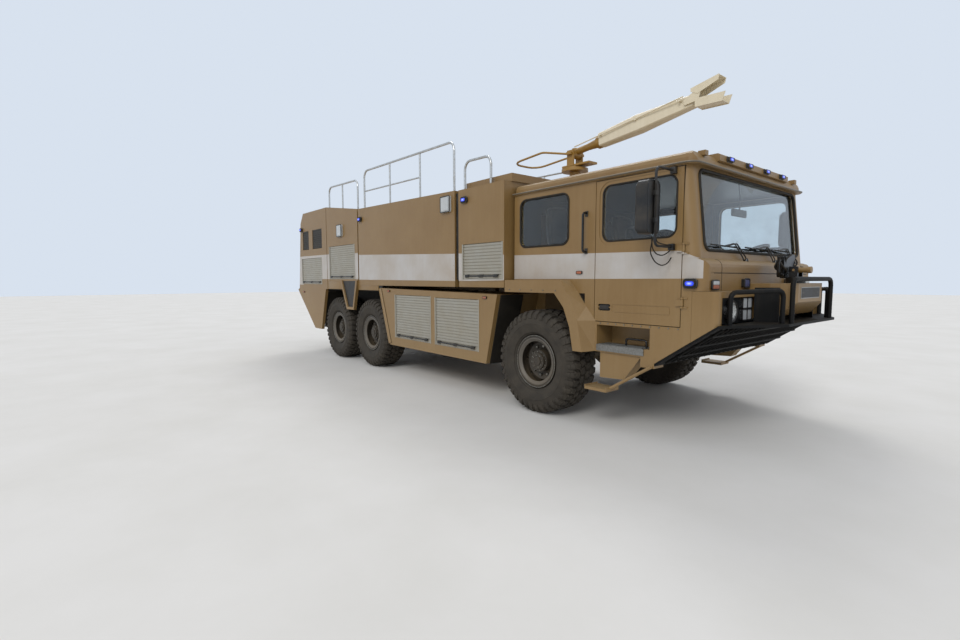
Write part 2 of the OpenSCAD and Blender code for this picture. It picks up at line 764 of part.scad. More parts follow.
module rear_locker() color(sand) placed() {
    difference() {
        section_block(rear_locker_x[0], rear_locker_x[1], bay_top, 2925, rear_locker_bottom);
        side_recesses([shutters_at[1]]);
    }
    both_sides() side_plate([
        [-5400, rear_locker_bottom + 5], [-5120, 1014], [-4820, 1014], [-4645, rear_locker_bottom + 5]
    ], -body_half, -body_half + 30);
}

module tank_body() color(sand) placed() {
    section_block(tank_x[0], tank_x[1], 2917, tank_top, tank_bottom);
}

module front_body() color(sand) placed() {
    difference() {
        section_block(front_body_x[0], front_body_x[1], front_body_top, front_body_top, 1580);
        side_recesses([shutters_at[2]]);
    }
    block([front_body_x[0] + 40, -body_half + 115, front_body_top],
        [front_body_x[1] + 20, body_half - 115, deck_z]);
}

// Side lockers between the axles: slanted ends, lower than the body sections
locker_top = 1406;
function locker_front(z) = -655 - (locker_top - z) * 0.2376;

// Slanted rear edge of the side lockers: foot and head
locker_foot = [-3480, locker_bottom];
locker_head = [-3824, 1450];
post_r = 32;

// Distance of the posts' centre lines ahead of the rear edge, and where the outer skin begins
post_in = 35;
skin_in = 75;

module side_lockers() color(sand) placed() {
    difference() {
        both_sides() {
            side_plate([
                locker_foot, [locker_front(locker_bottom), locker_bottom],
                [locker_front(locker_top), locker_top], locker_head
            ], -body_half + post_r, -sump_half);
            side_plate([
                locker_foot + [skin_in, 0], [locker_front(locker_bottom), locker_bottom],
                [locker_front(locker_top), locker_top], locker_head + [skin_in, 0]
            ], -body_half, -body_half + post_r + 1);
        }
        side_recesses([shutters_at[3], shutters_at[4]]);
    }
    both_sides() intersection() {
        rod([locker_foot[0] + post_in + 12, -body_half + post_r, locker_foot[1] - 33],
            [locker_head[0] + post_in - 12, -body_half + post_r, locker_head[1] + 33], post_r);
        block([locker_head[0], -body_half, locker_foot[1]],
            [locker_foot[0] + skin_in, -body_half + 2 * post_r, locker_head[1]]);
    }
}

// Roller shutters: rear x, front x, bottom, top, on both sides
shutters_at = [
    [-7600, -6400, 1500, 2080],
    [-5990, -4770, 1610, 2285],
    [-1390, -545, 1600, 2080],
    [-3275, -2180, 620, 1345],
    [-2077, -1020, 620, 1330]
];

// Width of a shutter's side tracks, height of its foot bar, and the slats' pitch
track_w = 24;
foot_bar = 60;
slat_pitch = 42;

module shutters() color(grey_metal) placed() both_sides() for (s = shutters_at) {
    slat_panel([s[0] + track_w, s[1] - track_w, s[2] + foot_bar, s[3]], slat_pitch,
        [[16, 0], [9, 0.2], [9, 0.8], [16, 1]]);
    for (x = [s[0], s[1] - track_w]) {
        block([x, -body_half - 3, s[2]], [x + track_w, -body_half + recess, s[3]]);
    }
    block([s[0] + track_w, -body_half + 4, s[2]], [s[1] - track_w, -body_half + recess, s[2] + foot_bar]);
    rod([s[0] + track_w + 60, -body_half, s[2] + foot_bar / 2],
        [s[1] - track_w - 60, -body_half, s[2] + foot_bar / 2], 11);
    for (x = [s[0] + track_w + 80, s[1] - track_w - 100]) {
        block([x, -body_half, s[2] + foot_bar / 2 - 8], [x + 20, -body_half + 6, s[2] + foot_bar / 2 + 8]);
    }
}

// Faceted fenders over the front wheels: lines in X and Z where facets meet; the arch opens
// inward so that the steered tyre clears it
fender_seat = [[-510, 1592], [430, 1592], [544, 1470], [666, 1307], [794, 1155], [795, 826]];
fender_ridge = [[-510, 1592], [415, 1592], [493, 1457], [656, 1154], [725, 817]];
fender_arch = [[-510, 1444], [319, 1444], [458, 1288], [547, 1074], [598, 817]];
fender_arch_in = [[-510, 1444], [319, 1444], [458, 1288], [580, 1074], [677, 817]];

module fenders() color(sand) placed() both_sides() polyhedron([
    for (p = fender_seat) [p[0], -cab_half, p[1]],
    for (p = fender_ridge) [p[0], -body_half, p[1]],
    for (p = fender_arch) [p[0], -body_half, p[1]],
    for (p = fender_arch_in) [p[0], -cab_half, p[1]]
], [
    [0, 1, 7, 6], [1, 2, 7], [2, 8, 7], [2, 3, 8], [3, 9, 8], [3, 4, 9], [4, 5, 9], [5, 10, 9],
    for (i = [0:3]) [i + 6, i + 7, i + 12, i + 11],
    [1, 0, 16, 17], [2, 1, 17], [2, 17, 18], [3, 2, 18], [3, 18, 19], [4, 3, 19], [5, 4, 19], [5, 19, 20],
    [0, 6, 11, 16], [5, 20, 10], [20, 15, 10],
    [11, 12, 17, 16], [12, 13, 18, 17], for (i = [13:14]) [i, i + 1, i + 6],
    for (i = [13:14]) [i, i + 6, i + 5]
]);

// Bumper corners, the ledge over the lamps and the prow box between them
prow_top = 1557;
prow_front = 2396;
bumper_front = 2100;
// Lamp recess in the bumper: outer side, inner side, top
lamp_recess = [1240, 482, 1432];
recess_back = 2035;

module bumper() color(sand) placed() {
    intersection() {
        both_sides() {
            side_plate([
                [lower_front + 2, belly_z(lower_front + 2) + 2], [bumper_front, belly_z(bumper_front) + 2],
                [bumper_front, 1488], [lower_front + 2, 1488]
            ], -cab_half, -lamp_recess[0]);
            block([lower_front + seat_clear, -lamp_recess[0] - 1, lamp_recess[2]],
                [bumper_front, -lamp_recess[1] + 52, 1488]);
            block([lower_front + seat_clear, -lamp_recess[0] - 1, 1200],
                [recess_back, -lamp_recess[1] + 52, lamp_recess[2] + 1]);
        }
        linear_extrude(1500) nose_plan(lower_front, bumper_front, cab_half, 55);
    }
    intersection() {
        side_plate([
            [cab_front + seat_clear, 1210], [2130, 1210], [2270, 1247],
            [prow_front, 1376], [prow_front, prow_top],
            [cab_front + seat_clear, prow_top]
        ], -480, 480);
        linear_extrude(prow_top) polygon([
            [cab_front - 1, -480], [2200, -470], [2374, -410], [prow_front, -324],
            [prow_front, 324], [2374, 410], [2200, 470], [cab_front - 1, 480]
        ]);
    }
    block([lower_front + seat_clear, -430, 1240], [cab_front + seat_clear, 430, 1485]);
}

// Black tube loops and the slanted belly plate
module bull_bar() color(black_paint) placed() {
    tube_r = 22;
    nose_x = front_reach - tube_r;
    shelf_z = belly_z(belly_front) - 25;
    belly_rear = step_tube[1] + 2;
    shelf_front = front_reach - 2;
    intersection() {
        side_plate([
            [belly_rear, belly_z(belly_rear) - 25], [belly_front, shelf_z], [shelf_front, shelf_z],
            [shelf_front, shelf_z + 25], [belly_front, shelf_z + 25], [belly_rear, belly_z(belly_rear)]
        ], -cab_half - 10, cab_half + 10);
        linear_extrude(shelf_z + 100) polygon([
            [belly_rear - 10, -cab_half], [belly_front, -cab_half], [shelf_front, -640], [shelf_front, 640],
            [belly_front, cab_half], [belly_rear - 10, cab_half]
        ]);
    }
    both_sides() block([recess_back + seat_clear, -lamp_recess[0] + 1, shelf_z + 25 + seat_clear],
        [recess_back + 12, -lamp_recess[1] - 1, lamp_recess[2] - 1]);
    both_sides() translate([0, 0, shelf_z + 25 + seat_clear]) linear_extrude(lamp_recess[2] + 60 - shelf_z)
        polygon([[bumper_front + 2, -560], [2285, -455], [2285, -470], [bumper_front + 2, -575]]);
    foot_z = shelf_z + 25 + seat_clear;
    bent_tube([[nose_x, -535, foot_z], [nose_x, -535, 1600], [nose_x, 535, 1600], [nose_x, 535, foot_z]],
        70, tube_r, [1, 0, 0]);
    both_sides() bent_tube([
        [2140, -1170, foot_z], [2140, -1170, 1480], [2370, -620, 1495], [2370, -620, foot_z]
    ], 60, tube_r, [550, -230, 0]);
}

// Lamps

// Front lamps in the recess: across, height, half width, half height
lamp_stack = [
    [-715, 1260, 46, 50], [-715, 1372, 46, 50], [-613, 1260, 46, 50], [-613, 1372, 46, 50]
];
headlamp_at = [-985, 1302];
headlamp_r = 100;

module headlamps() color("#dfe3e4") placed() both_sides() {
    lamp_x = recess_back + 12 + seat_clear;
    for (p = lamp_stack) {
        cross_panel(p[0] - p[2], p[0] + p[2], p[1] - p[3], p[1] + p[3], 12, lamp_x, lamp_x + 28);
    }
    translate([lamp_x, headlamp_at[0], headlamp_at[1]]) rotate([0, 90, 0]) {
        cylinder(h = 30, r = headlamp_r);
        cylinder(h = 42, r1 = headlamp_r - 8, r2 = headlamp_r - 40);
    }
}

// Square scene lamps high on the body's sides: middle x, z, half width, half height
scene_lamps_at = [[-1750, 2670, 110, 110], [-5410, 2575, 110, 115]];

module scene_lamps() color("#dfe3e4") placed() both_sides() for (p = scene_lamps_at) {
    side_panel(p[0] - p[2], p[0] + p[2], p[1] - p[3], p[1] + p[3], 18, -body_half - 34, -body_half);
    side_panel(p[0] - p[2] + 20, p[0] + p[2] - 20, p[1] - p[3] + 20, p[1] + p[3] - 20, 10,
        -body_half - 42, -body_half - 33);
}

// Blue lamps on the sides: x, half width, z
blue_side = [
    // x, side plane, z
    [-7550, body_half, 2750], [-4500, body_half, 2713], [-1318, body_half, 2681], [1856, cab_half, 1560]
];

roof_lamps_y = [-650, -220, 220, 650];

module blue_lamps() color("#2036d0") placed() {
    both_sides() for (b = blue_side) {
        side_panel(b[0] - 62, b[0] + 62, b[2] - 38, b[2] + 38, 24, -b[1] - 30, -b[1]);
        side_panel(b[0] - 50, b[0] + 50, b[2] - 27, b[2] + 27, 18, -b[1] - 42, -b[1] - 29);
    }
    both_sides() cross_panel(-600, -492, 1520, 1600, 12, cab_front, cab_front + 34);
    for (y = roof_lamps_y) {
        cross_panel(y - 60, y + 60, roof_z - 62, roof_z - 22, 10, roof_front + 14, roof_front + 40);
    }
}

// Small lamps on the sides: x, side plane, z
markers_at = [
    [-3466, body_half, 1403], [-895, body_half, 1361], [567, cab_half, 1674], [-7500, body_half, 1320]
];
// Rear lamps, one above the other: heights of their middles above the bay's lower edge
rear_lamps_z = [110, 230, 350];

module marker_lamps() color("#d0641c") placed() both_sides() {
    at_tail() for (z = rear_lamps_z) cross_panel(-1400, -1270, z - 50, z + 50, 14, -24, 0);
    for (m = markers_at) {
        side_panel(m[0] - 42, m[0] + 42, m[2] - 18, m[2] + 18, 12, -m[1] - 14, -m[1]);
    }
    cross_panel(-1225, -1100, 1508, 1586, 14, cab_front, cab_front + 22);
}

// Aluminium step in the recess under each door: rear and front, height, inner side
step_span = [815, 1388];
step_bottom = 838;
step_top = 905;
step_rear_y = -1120;

module cab_steps() color(grey_metal) placed() both_sides() {
    block([step_span[0] + seat_clear, -cab_half - 8, step_bottom + seat_clear],
        [step_span[1] - seat_clear, step_rear_y - seat_clear, step_top]);
    for (y = [-cab_half + 5, -cab_half + 65, -cab_half + 125]) {
        block([step_span[0] + 20, y, step_top - 1], [step_span[1] - 20, y + 18, step_top + 6]);
    }
}

// Lower cab sides: step recess, box below it and the panel ahead of it
module cab_skirts() color(sand) placed() both_sides() {
    skirt_rear = 790;
    difference() {
        side_plate([
            [skirt_rear, step_tube[3]], [step_tube[1], step_tube[3]],
            [step_tube[1], belly_z(step_tube[1]) + 3], [lower_front, belly_z(lower_front) + 3],
            [lower_front, floor_z - floor_t], [skirt_rear, floor_z - floor_t]
        ], -cab_half, -900);
        block([skirt_rear + 25, -cab_half - 1, step_top], [1450, -1050, floor_z]);
        block([step_span[0], -cab_half - 1, step_bottom], [step_span[1], step_rear_y, step_top + 1]);
    }
    side_plate([[850, 545], [1150, 560], [step_tube[0], step_tube[3]], [850, step_tube[3]]],
        -cab_half + 20, -1150);
}

// Low steps on arms that trail from the square tubes under the skirts
step_tube = [1350, 1505, 725, 826];

module low_steps() color(sand) placed() both_sides() {
    arm_y = -cab_half - 20;
    difference() {
        block([step_tube[0] + 2, -cab_half, step_tube[2]], [step_tube[1] - 2, -1152, step_tube[3]]);
        side_plate([[1100, 500], [step_tube[0] + 2, step_tube[3] + 1], [1100, step_tube[3] + 1]],
            -cab_half, -1100);
    }
    rod([step_tube[1] - 25, -1200, step_tube[2] + 15], [step_tube[1] - 25, arm_y, step_tube[2] + 15], 14);
    rod([step_tube[1] - 25, arm_y, step_tube[2] + 15], [980, arm_y, 432], 16);
    block([730, -body_half + 50, 415], [1010, -1190, 445]);
    for (x = [730, 1002]) block([x, -body_half + 50, 444], [x + 8, -1190, 462]);
}

// Deck line of each body section, for what stands on it
deck_line = [
    [rear_locker_x[0], bay_top], [rear_locker_x[1], 2925], [tank_x[0], 2917], [tank_x[1], tank_top],
    [front_body_x[0], front_body_top], [front_body_x[1], front_body_top]
];
rail_y = -body_half + 65;

// Handrails on the roof: rear foot, front foot, rail height at each, bend, posts between them
rails_at = [
    // rear x, front x, rear z, front z, bend, middle posts
    [-4440, -1650, 3590, 3545, 120, [-3490, -2545]],
    [-6060, -4720, 3520, 3480, 120, [-5400]],
    [-1400, -850, 3215, 3200, 110, []]
];
rail_r = 17;
// Straight length of a bent post past its bend
post_reach = 40;

function rail_z(rail, x) = rail[2] + (x - rail[0]) * (rail[3] - rail[2]) / (rail[1] - rail[0]);
// Height at which a foot's end clears the sloping deck all round
function foot_z(x) = max(lookup(x - rail_r, deck_line), lookup(x + rail_r, deck_line)) + seat_clear;

// Post with its bend at one end of a rail; s is 1 where the rail runs forward from it
module bent_post(rail, x, s) {
    end_x = x + s * (rail[4] + post_reach);
    bent_tube([[x, rail_y, foot_z(x)], [x, rail_y, rail_z(rail, x)], [end_x, rail_y, rail_z(rail, end_x)]],
        rail[4], rail_r, [0, 1, 0]);
}

module rails_one_side() for (rail = rails_at) {
    inset = rail[4] + post_reach + seat_clear;
    bent_post(rail, rail[0], 1);
    bent_post(rail, rail[1], -1);
    bent_tube([
        [rail[0] + inset, rail_y, rail_z(rail, rail[0] + inset)],
        [rail[1] - inset, rail_y, rail_z(rail, rail[1] - inset)]
    ], 0, rail_r, [0, 1, 0]);
    for (x = rail[5]) {
        top = rail_z(rail, x) - rail_r - 1;
        bent_tube([[x, rail_y, foot_z(x)], [x, rail_y, top]], 0, rail_r - 2, [0, 1, 0]);
    }
}

module handrails(side) color(grey_metal) placed() on_side(side) rails_one_side();

// Flaps behind the front wheels
module mudguards() color(rubber) placed() both_sides() {
    side_plate([
        [locker_front(1398) + 0.4, 1398], [locker_front(1398) + 12, 1398], [locker_front(470) + 12, 470],
        [locker_front(470) + 0.4, 470]
    ], -body_half + 65, -1000);
}

// Roof monitor

deck_z = 2930;

module monitor_base() color(sand) placed() translate([monitor_x, 0, deck_z]) {
    cylinder(h = 20, r = 160);
    cylinder(h = 200, r = 75);
}

// Inner faces and thickness of the cheeks that hold the tilt pin
cheek_in = 84;
cheek_t = 22;
tilt_pin_r = 20;

module roof_turret() color(sand) placed() translate([monitor_x, 0, 0]) {
    difference() {
        union() {
            translate([0, 0, deck_z + 205]) cylinder(h = 40, r = 188);
            translate([0, 0, deck_z + 244]) cylinder(h = 30, r = 120);
            cross_panel(-95, 95, deck_z + 270, deck_z + 300, 8, -160, 320);
            for (s = [-1, 1]) block([-60, s * (cheek_in + cheek_t / 2) - cheek_t / 2, deck_z + 280],
                [60, s * (cheek_in + cheek_t / 2) + cheek_t / 2, monitor_z + 50]);
        }
        translate([0, 0, monitor_z]) rotate([90, 0, 0]) cylinder(h = 400, r = tilt_pin_r, center = true);
    }
    translate([0, 0, deck_z + 200 + seat_clear]) cylinder(h = 6, r = 30);
}

// Barrel's own frame: u along the barrel from the tilt pin, w across, v up from the pin
module along_barrel() translate([monitor_x, 0, monitor_z]) rotate([0, -barrel_lift, 0]) children();

// Sleeve's sections: u, v of its middle, half width, half height, cut of its corners
sleeve = [[470, 46, 72, 88, 14], [1062, 53, 84, 105, 16], [barrel_len - 10, 54, 56, 68, 12]];
flange_u = 440;

function sleeve_ring(q) = [
    for (c = [
        [1, 1, 0], [1, 0, 1], [-1, 0, 1], [-1, 1, 0],
        [-1, -1, 0], [-1, 0, -1], [1, 0, -1], [1, -1, 0]
    ])
        c[1] == 0
            ? [q[0], c[0] * (q[2] - q[4]), q[1] + c[2] * q[3]]
            : [q[0], c[0] * q[2], q[1] + c[1] * (q[3] - q[4])]
];

// Jaws that spread the jet: side outlines in u and v, then the plate that joins both sides
upper_jaw = [[1784, 140], [1784, 179], [2116, 207], [2100, 150], [1860, 92]];
lower_jaw = [[1815, -47], [1826, 48], [2166, -6], [2121, -96]];
jaw_half = 84;
jaw_t = 6;

module jaw(points, a, b) {
    both_sides() side_plate(points, -jaw_half, -jaw_half + jaw_t);
    up = [a[1] - b[1], b[0] - a[0]] / norm(b - a) * jaw_t;
    side_plate([a, b, b + up, a + up], -jaw_half + 1, jaw_half - 1);
}

module roof_barrel() color(white_paint) placed() along_barrel() {
    loft([for (q = sleeve) sleeve_ring(q)]);
    jaw(upper_jaw, [2116, 201], [1784, 173]);
    jaw(lower_jaw, [1815, -41], [2121, -90]);
    both_sides() {
        side_plate([[1690, 20], [1690, 80], [1880, 160], [1890, 100], [1860, 20]],
            -jaw_half + jaw_t - 1, -jaw_half + 2 * jaw_t);
        block([1690, -jaw_half + 2 * jaw_t - 1, 30], [barrel_len - 30, -40, 75]);
    }
    rod([80, -102, 70], [1700, -102, 116], 8);
    for (p = [[520, -100], [1062, -100], [1650, -100]]) {
        block([p[0] - 12, p[1] - 10, 78], [p[0] + 12, -50, 104]);
    }
}

// Breech in the cradle's cheeks: elbow, pipe and flange, cap, and the hoop that it is aimed by
module monitor_breech() color(sand) placed() {
    translate([monitor_x, 0, monitor_z]) {
        rotate([90, 0, 0]) cylinder(h = 2 * cheek_in - 12, r = 60, center = true);
        rotate([90, 0, 0]) cylinder(h = 300, r = tilt_pin_r - pin_clear, center = true);
        cylinder(h = 84, r = 44);
        both_sides() block([-44, -148, -18], [44, -118, 18]);
    }
    along_barrel() {
        translate([0, 0, 30]) rotate([0, 90, 0]) {
            cylinder(h = flange_u, r = 46);
            translate([0, 0, 250]) cylinder(h = flange_u - 250, r1 = 46, r2 = 66);
            translate([0, 0, flange_u - 20]) cylinder(h = sleeve[0][0] - flange_u + 20 - seat_clear, r = 82);
        }
    }
    translate([monitor_x, 0, monitor_z]) bent_tube([
        [-45, -134, 0], [-380, -270, 62], [-1030, -270, 10], [-1030, 270, 10], [-380, 270, 62], [-45, 134, 0]
    ], 190, 15, [0, 0, 1]);
}

// Bumper monitor
nozzle_at = [2260, 0, 1690];

nozzle_pin_r = 12;

module bumper_turret() color(black_paint) placed() {
    difference() {
        for (s = [-1, 1]) {
            block([nozzle_at[0] - 40, s * 65 - 10, prow_top + 60], [nozzle_at[0] + 40, s * 65 + 10, 1725]);
        }
        translate(nozzle_at) rotate([90, 0, 0]) cylinder(h = 200, r = nozzle_pin_r, center = true);
    }
    translate([nozzle_at[0], 0, prow_top + seat_clear]) cylinder(h = 60, r = 88);
    block([nozzle_at[0] - 120, -75, prow_top + 50], [nozzle_at[0] + 40, 75, prow_top + 65]);
    cross_panel(-140, 140, prow_top + 60, 1850, 30, nozzle_at[0] - 130, nozzle_at[0] - 62);
    both_sides() bent_tube([
        [nozzle_at[0] - 90, -130, 1640], [nozzle_at[0] - 90, -190, 1640], [nozzle_at[0] - 90, -190, 1790],
        [nozzle_at[0] - 90, -130, 1790]
    ], 40, 10, [1, 0, 0]);
}

module bumper_nozzle() color(sand) placed() translate(nozzle_at) {
    rotate([90, 0, 0]) cylinder(h = 100, r = 35, center = true);
    rotate([90, 0, 0]) cylinder(h = 150, r = nozzle_pin_r - pin_clear, center = true);
    rotate([0, 90, 0]) cylinder(h = 138, r = 27);
    rotate([0, 90, 0]) translate([0, 0, 100]) cylinder(h = 38, r = 33);
}

chassis_frame();
axles();
springs();
drive_shafts();
engine_block();
cab_floor();
cab_shell();
cab_roof();
cab_glass();
seats();
dashboard();
engine_bay();
rear_locker();
tank_body();
front_body();
side_lockers();
shutters();
vents();
fenders();
bumper();
bull_bar();
headlamps();
blue_lamps();
marker_lamps();
scene_lamps();
cab_skirts();
cab_steps();
low_steps();
grab_handles();
handrails("right");  // handrails_right
handrails("left");  // handrails_left
mudguards();
monitor_base();
door("right");  // door_right
door_glass("right");  // door_glass_right
mirror_assembly("right");  // mirror_right
door("left");  // door_left
door_glass("left");  // door_glass_left
mirror_assembly("left");  // mirror_left
roof_turret();
monitor_breech();
roof_barrel();
bumper_turret();
bumper_nozzle();
knuckle("right");  // knuckle_right
knuckle("left");  // knuckle_left
tyre(axle_places[0], "right");  // tyre_front_right
tyre(axle_places[0], "left");  // tyre_front_left
tyre(axle_places[1], "right");  // tyre_middle_right
tyre(axle_places[1], "left");  // tyre_middle_left
tyre(axle_places[2], "right");  // tyre_rear_right
tyre(axle_places[2], "left");  // tyre_rear_left
rim(axle_places[0], "right");  // rim_front_right
rim(axle_places[0], "left");  // rim_front_left
rim(axle_places[1], "right");  // rim_middle_right
rim(axle_places[1], "left");  // rim_middle_left
rim(axle_places[2], "right");  // rim_rear_right
rim(axle_places[2], "left");  // rim_rear_left
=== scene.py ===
import json
import math
import random

import bmesh
import bpy
from mathutils import Matrix, Vector


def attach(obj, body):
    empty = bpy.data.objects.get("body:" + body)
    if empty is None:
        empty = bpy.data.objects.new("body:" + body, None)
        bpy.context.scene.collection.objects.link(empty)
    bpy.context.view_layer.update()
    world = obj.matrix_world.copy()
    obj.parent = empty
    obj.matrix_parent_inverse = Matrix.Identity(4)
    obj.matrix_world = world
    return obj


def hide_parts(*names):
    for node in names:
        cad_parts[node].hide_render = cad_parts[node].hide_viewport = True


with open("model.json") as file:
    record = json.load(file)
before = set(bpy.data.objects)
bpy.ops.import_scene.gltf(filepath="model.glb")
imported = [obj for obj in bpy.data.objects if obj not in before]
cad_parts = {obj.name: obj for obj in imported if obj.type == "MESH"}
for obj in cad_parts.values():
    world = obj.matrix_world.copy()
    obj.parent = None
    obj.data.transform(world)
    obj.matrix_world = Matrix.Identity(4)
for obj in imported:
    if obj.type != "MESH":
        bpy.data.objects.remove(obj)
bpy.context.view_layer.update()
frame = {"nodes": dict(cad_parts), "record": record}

nodes = frame["nodes"]

# driving dimensions in metres; stations count forward from the front axle
frontAxle = 2.73  # its own station in the truck's frame
axles = {"front": 0.0, "middle": -4.2, "rear": -5.63}
wheelOut, wheelUp = 1.25, 0.62  # middles of the wheels, from the truck's middle and from the ground
bodyHalf, cabHalf = 1.465, 1.325  # half widths of the bodies behind the cab and of the cab
sides = {"right": -1, "left": 1}


def at(x, y, z):
    return Vector((x + frontAxle, y, z))


# colours and material nodes

def hexColour(code):
    out = []
    for i in (1, 3, 5):
        c = int(code[i:i + 2], 16) / 255
        out.append(c / 12.92 if c <= 0.04045 else ((c + 0.055) / 1.055) ** 2.4)
    return (*out, 1.0)


def addNode(tree, kind, given=None):
    # each key is a property or an input; a node or a socket is linked, any other value is set
    node = tree.nodes.new(kind)
    for key, value in (given or {}).items():
        if isinstance(value, bpy.types.Node):
            value = next(socket for socket in value.outputs if socket.enabled)
        if isinstance(value, bpy.types.NodeSocket):
            tree.links.new(node.inputs[key], value)
        elif isinstance(key, str) and hasattr(node, key):
            setattr(node, key, value)
        else:
            node.inputs[key].default_value = value
    return node


def newMaterial(name):
    material = bpy.data.materials.new(name)
    material.use_nodes = True
    tree = material.node_tree
    tree.nodes.clear()
    return material, tree, addNode(tree, "ShaderNodeTexCoord").outputs["Object"]


def finishMaterial(material, tree, given):
    shader = addNode(tree, "ShaderNodeBsdfPrincipled", given)
    addNode(tree, "ShaderNodeOutputMaterial", {"Surface": shader})
    return material


def clouded(tree, place, noise, low, high, toLow=0.0, toHigh=1.0):
    # patches of a noise with this scale, detail and roughness, cut at two levels and drawn out to two values
    scale, detail, roughness = noise
    cloud = addNode(tree, "ShaderNodeTexNoise", {"Vector": place, "Scale": scale, "Detail": detail,
                                                 "Roughness": roughness})
    return addNode(tree, "ShaderNodeMapRange", {"Value": cloud, "From Min": low, "From Max": high,
                                                "To Min": toLow, "To Max": toHigh})


def allOf(tree, tests):
    # 1 where every comparison holds, else 0
    passed = 1.0
    for operation, a, b in tests:
        test = addNode(tree, "ShaderNodeMath", {"operation": operation, 0: a, 1: b})
        passed = addNode(tree, "ShaderNodeMath", {"operation": "MULTIPLY", 0: passed, 1: test})
    return passed


# the white band on the sides: station, its lower edge, its upper edge; it ends at the last row but one
bandEdges = [(-7.95, 1.485, 2.14), (-7.52, 1.485, 2.14), (-7.50, 1.617, 2.14), (-6.08, 1.612, 2.13),
             (-6.04, 1.61, 2.13), (-4.64, 1.61, 2.10), (-4.60, 1.60, 2.065), (-1.56, 1.58, 1.962),
             (-1.54, 1.575, 1.967), (-0.54, 1.588, 1.911), (-0.50, 1.604, 1.903), (1.750, 1.605, 1.860),
             (1.952, 1.606, 1.764), (1.99, 1.606, 1.764)]


def bandMask(tree, place, normal):
    part = addNode(tree, "ShaderNodeSeparateXYZ", {"Vector": place}).outputs
    first, end, last = (bandEdges[k][0] for k in (0, -2, -1))
    base = 1.0  # a ramp holds 0 to 1, so the heights are kept from 1 m up
    along = addNode(tree, "ShaderNodeMapRange", {"Value": part[0], "From Min": first + frontAxle,
                                                 "From Max": last + frontAxle})
    height = addNode(tree, "ShaderNodeMath", {"operation": "SUBTRACT", 0: part[2], 1: base})
    across = addNode(tree, "ShaderNodeSeparateXYZ", {"Vector": normal}).outputs[1]
    steep = addNode(tree, "ShaderNodeMath", {"operation": "ABSOLUTE", 0: across})
    tests = [("LESS_THAN", part[0], end + frontAxle), ("GREATER_THAN", steep, 0.3)]  # only on the side walls
    for column, operation in ((1, "GREATER_THAN"), (2, "LESS_THAN")):
        ramp = addNode(tree, "ShaderNodeValToRGB", {"Fac": along})
        stops = ramp.color_ramp.elements
        stops[0].position, stops[1].position = 0.0, 1.0
        for row in bandEdges[1:-1]:
            stops.new((row[0] - first) / (last - first))
        for stop, row in zip(stops, bandEdges):
            stop.color = (row[column] - base, row[column] - base, row[column] - base, 1)
        tests.append((operation, height, addNode(tree, "ShaderNodeSeparateColor", {"Color": ramp})))
    return allOf(tree, tests)


# the room inside the cab, whose walls get a dark colour as painted shade; its front leans back from the
# windscreen's foot
cabRoom = {"rear": -0.43, "front": 1.845, "half": 1.27, "low": 1.14, "high": 2.66, "foot": 1.79,
           "lean": 0.1118}


# painted shade: 1 on the walls inside the cab, 0 elsewhere
def roomShadeMask(tree, place):
    part = addNode(tree, "ShaderNodeSeparateXYZ", {"Vector": place}).outputs
    rise = addNode(tree, "ShaderNodeMath", {"operation": "SUBTRACT", 0: part[2], 1: cabRoom["foot"]})
    front = addNode(tree, "ShaderNodeMath",
                    {"operation": "MULTIPLY_ADD", 0: rise, 1: cabRoom["lean"], 2: part[0]})
    half = addNode(tree, "ShaderNodeMath", {"operation": "ABSOLUTE", 0: part[1]})
    return allOf(tree, [("LESS_THAN", front, cabRoom["front"] + frontAxle),
                        ("GREATER_THAN", part[0], cabRoom["rear"] + frontAxle),
                        ("LESS_THAN", half, cabRoom["half"]),
                        ("GREATER_THAN", part[2], cabRoom["low"]), ("LESS_THAN", part[2], cabRoom["high"])])


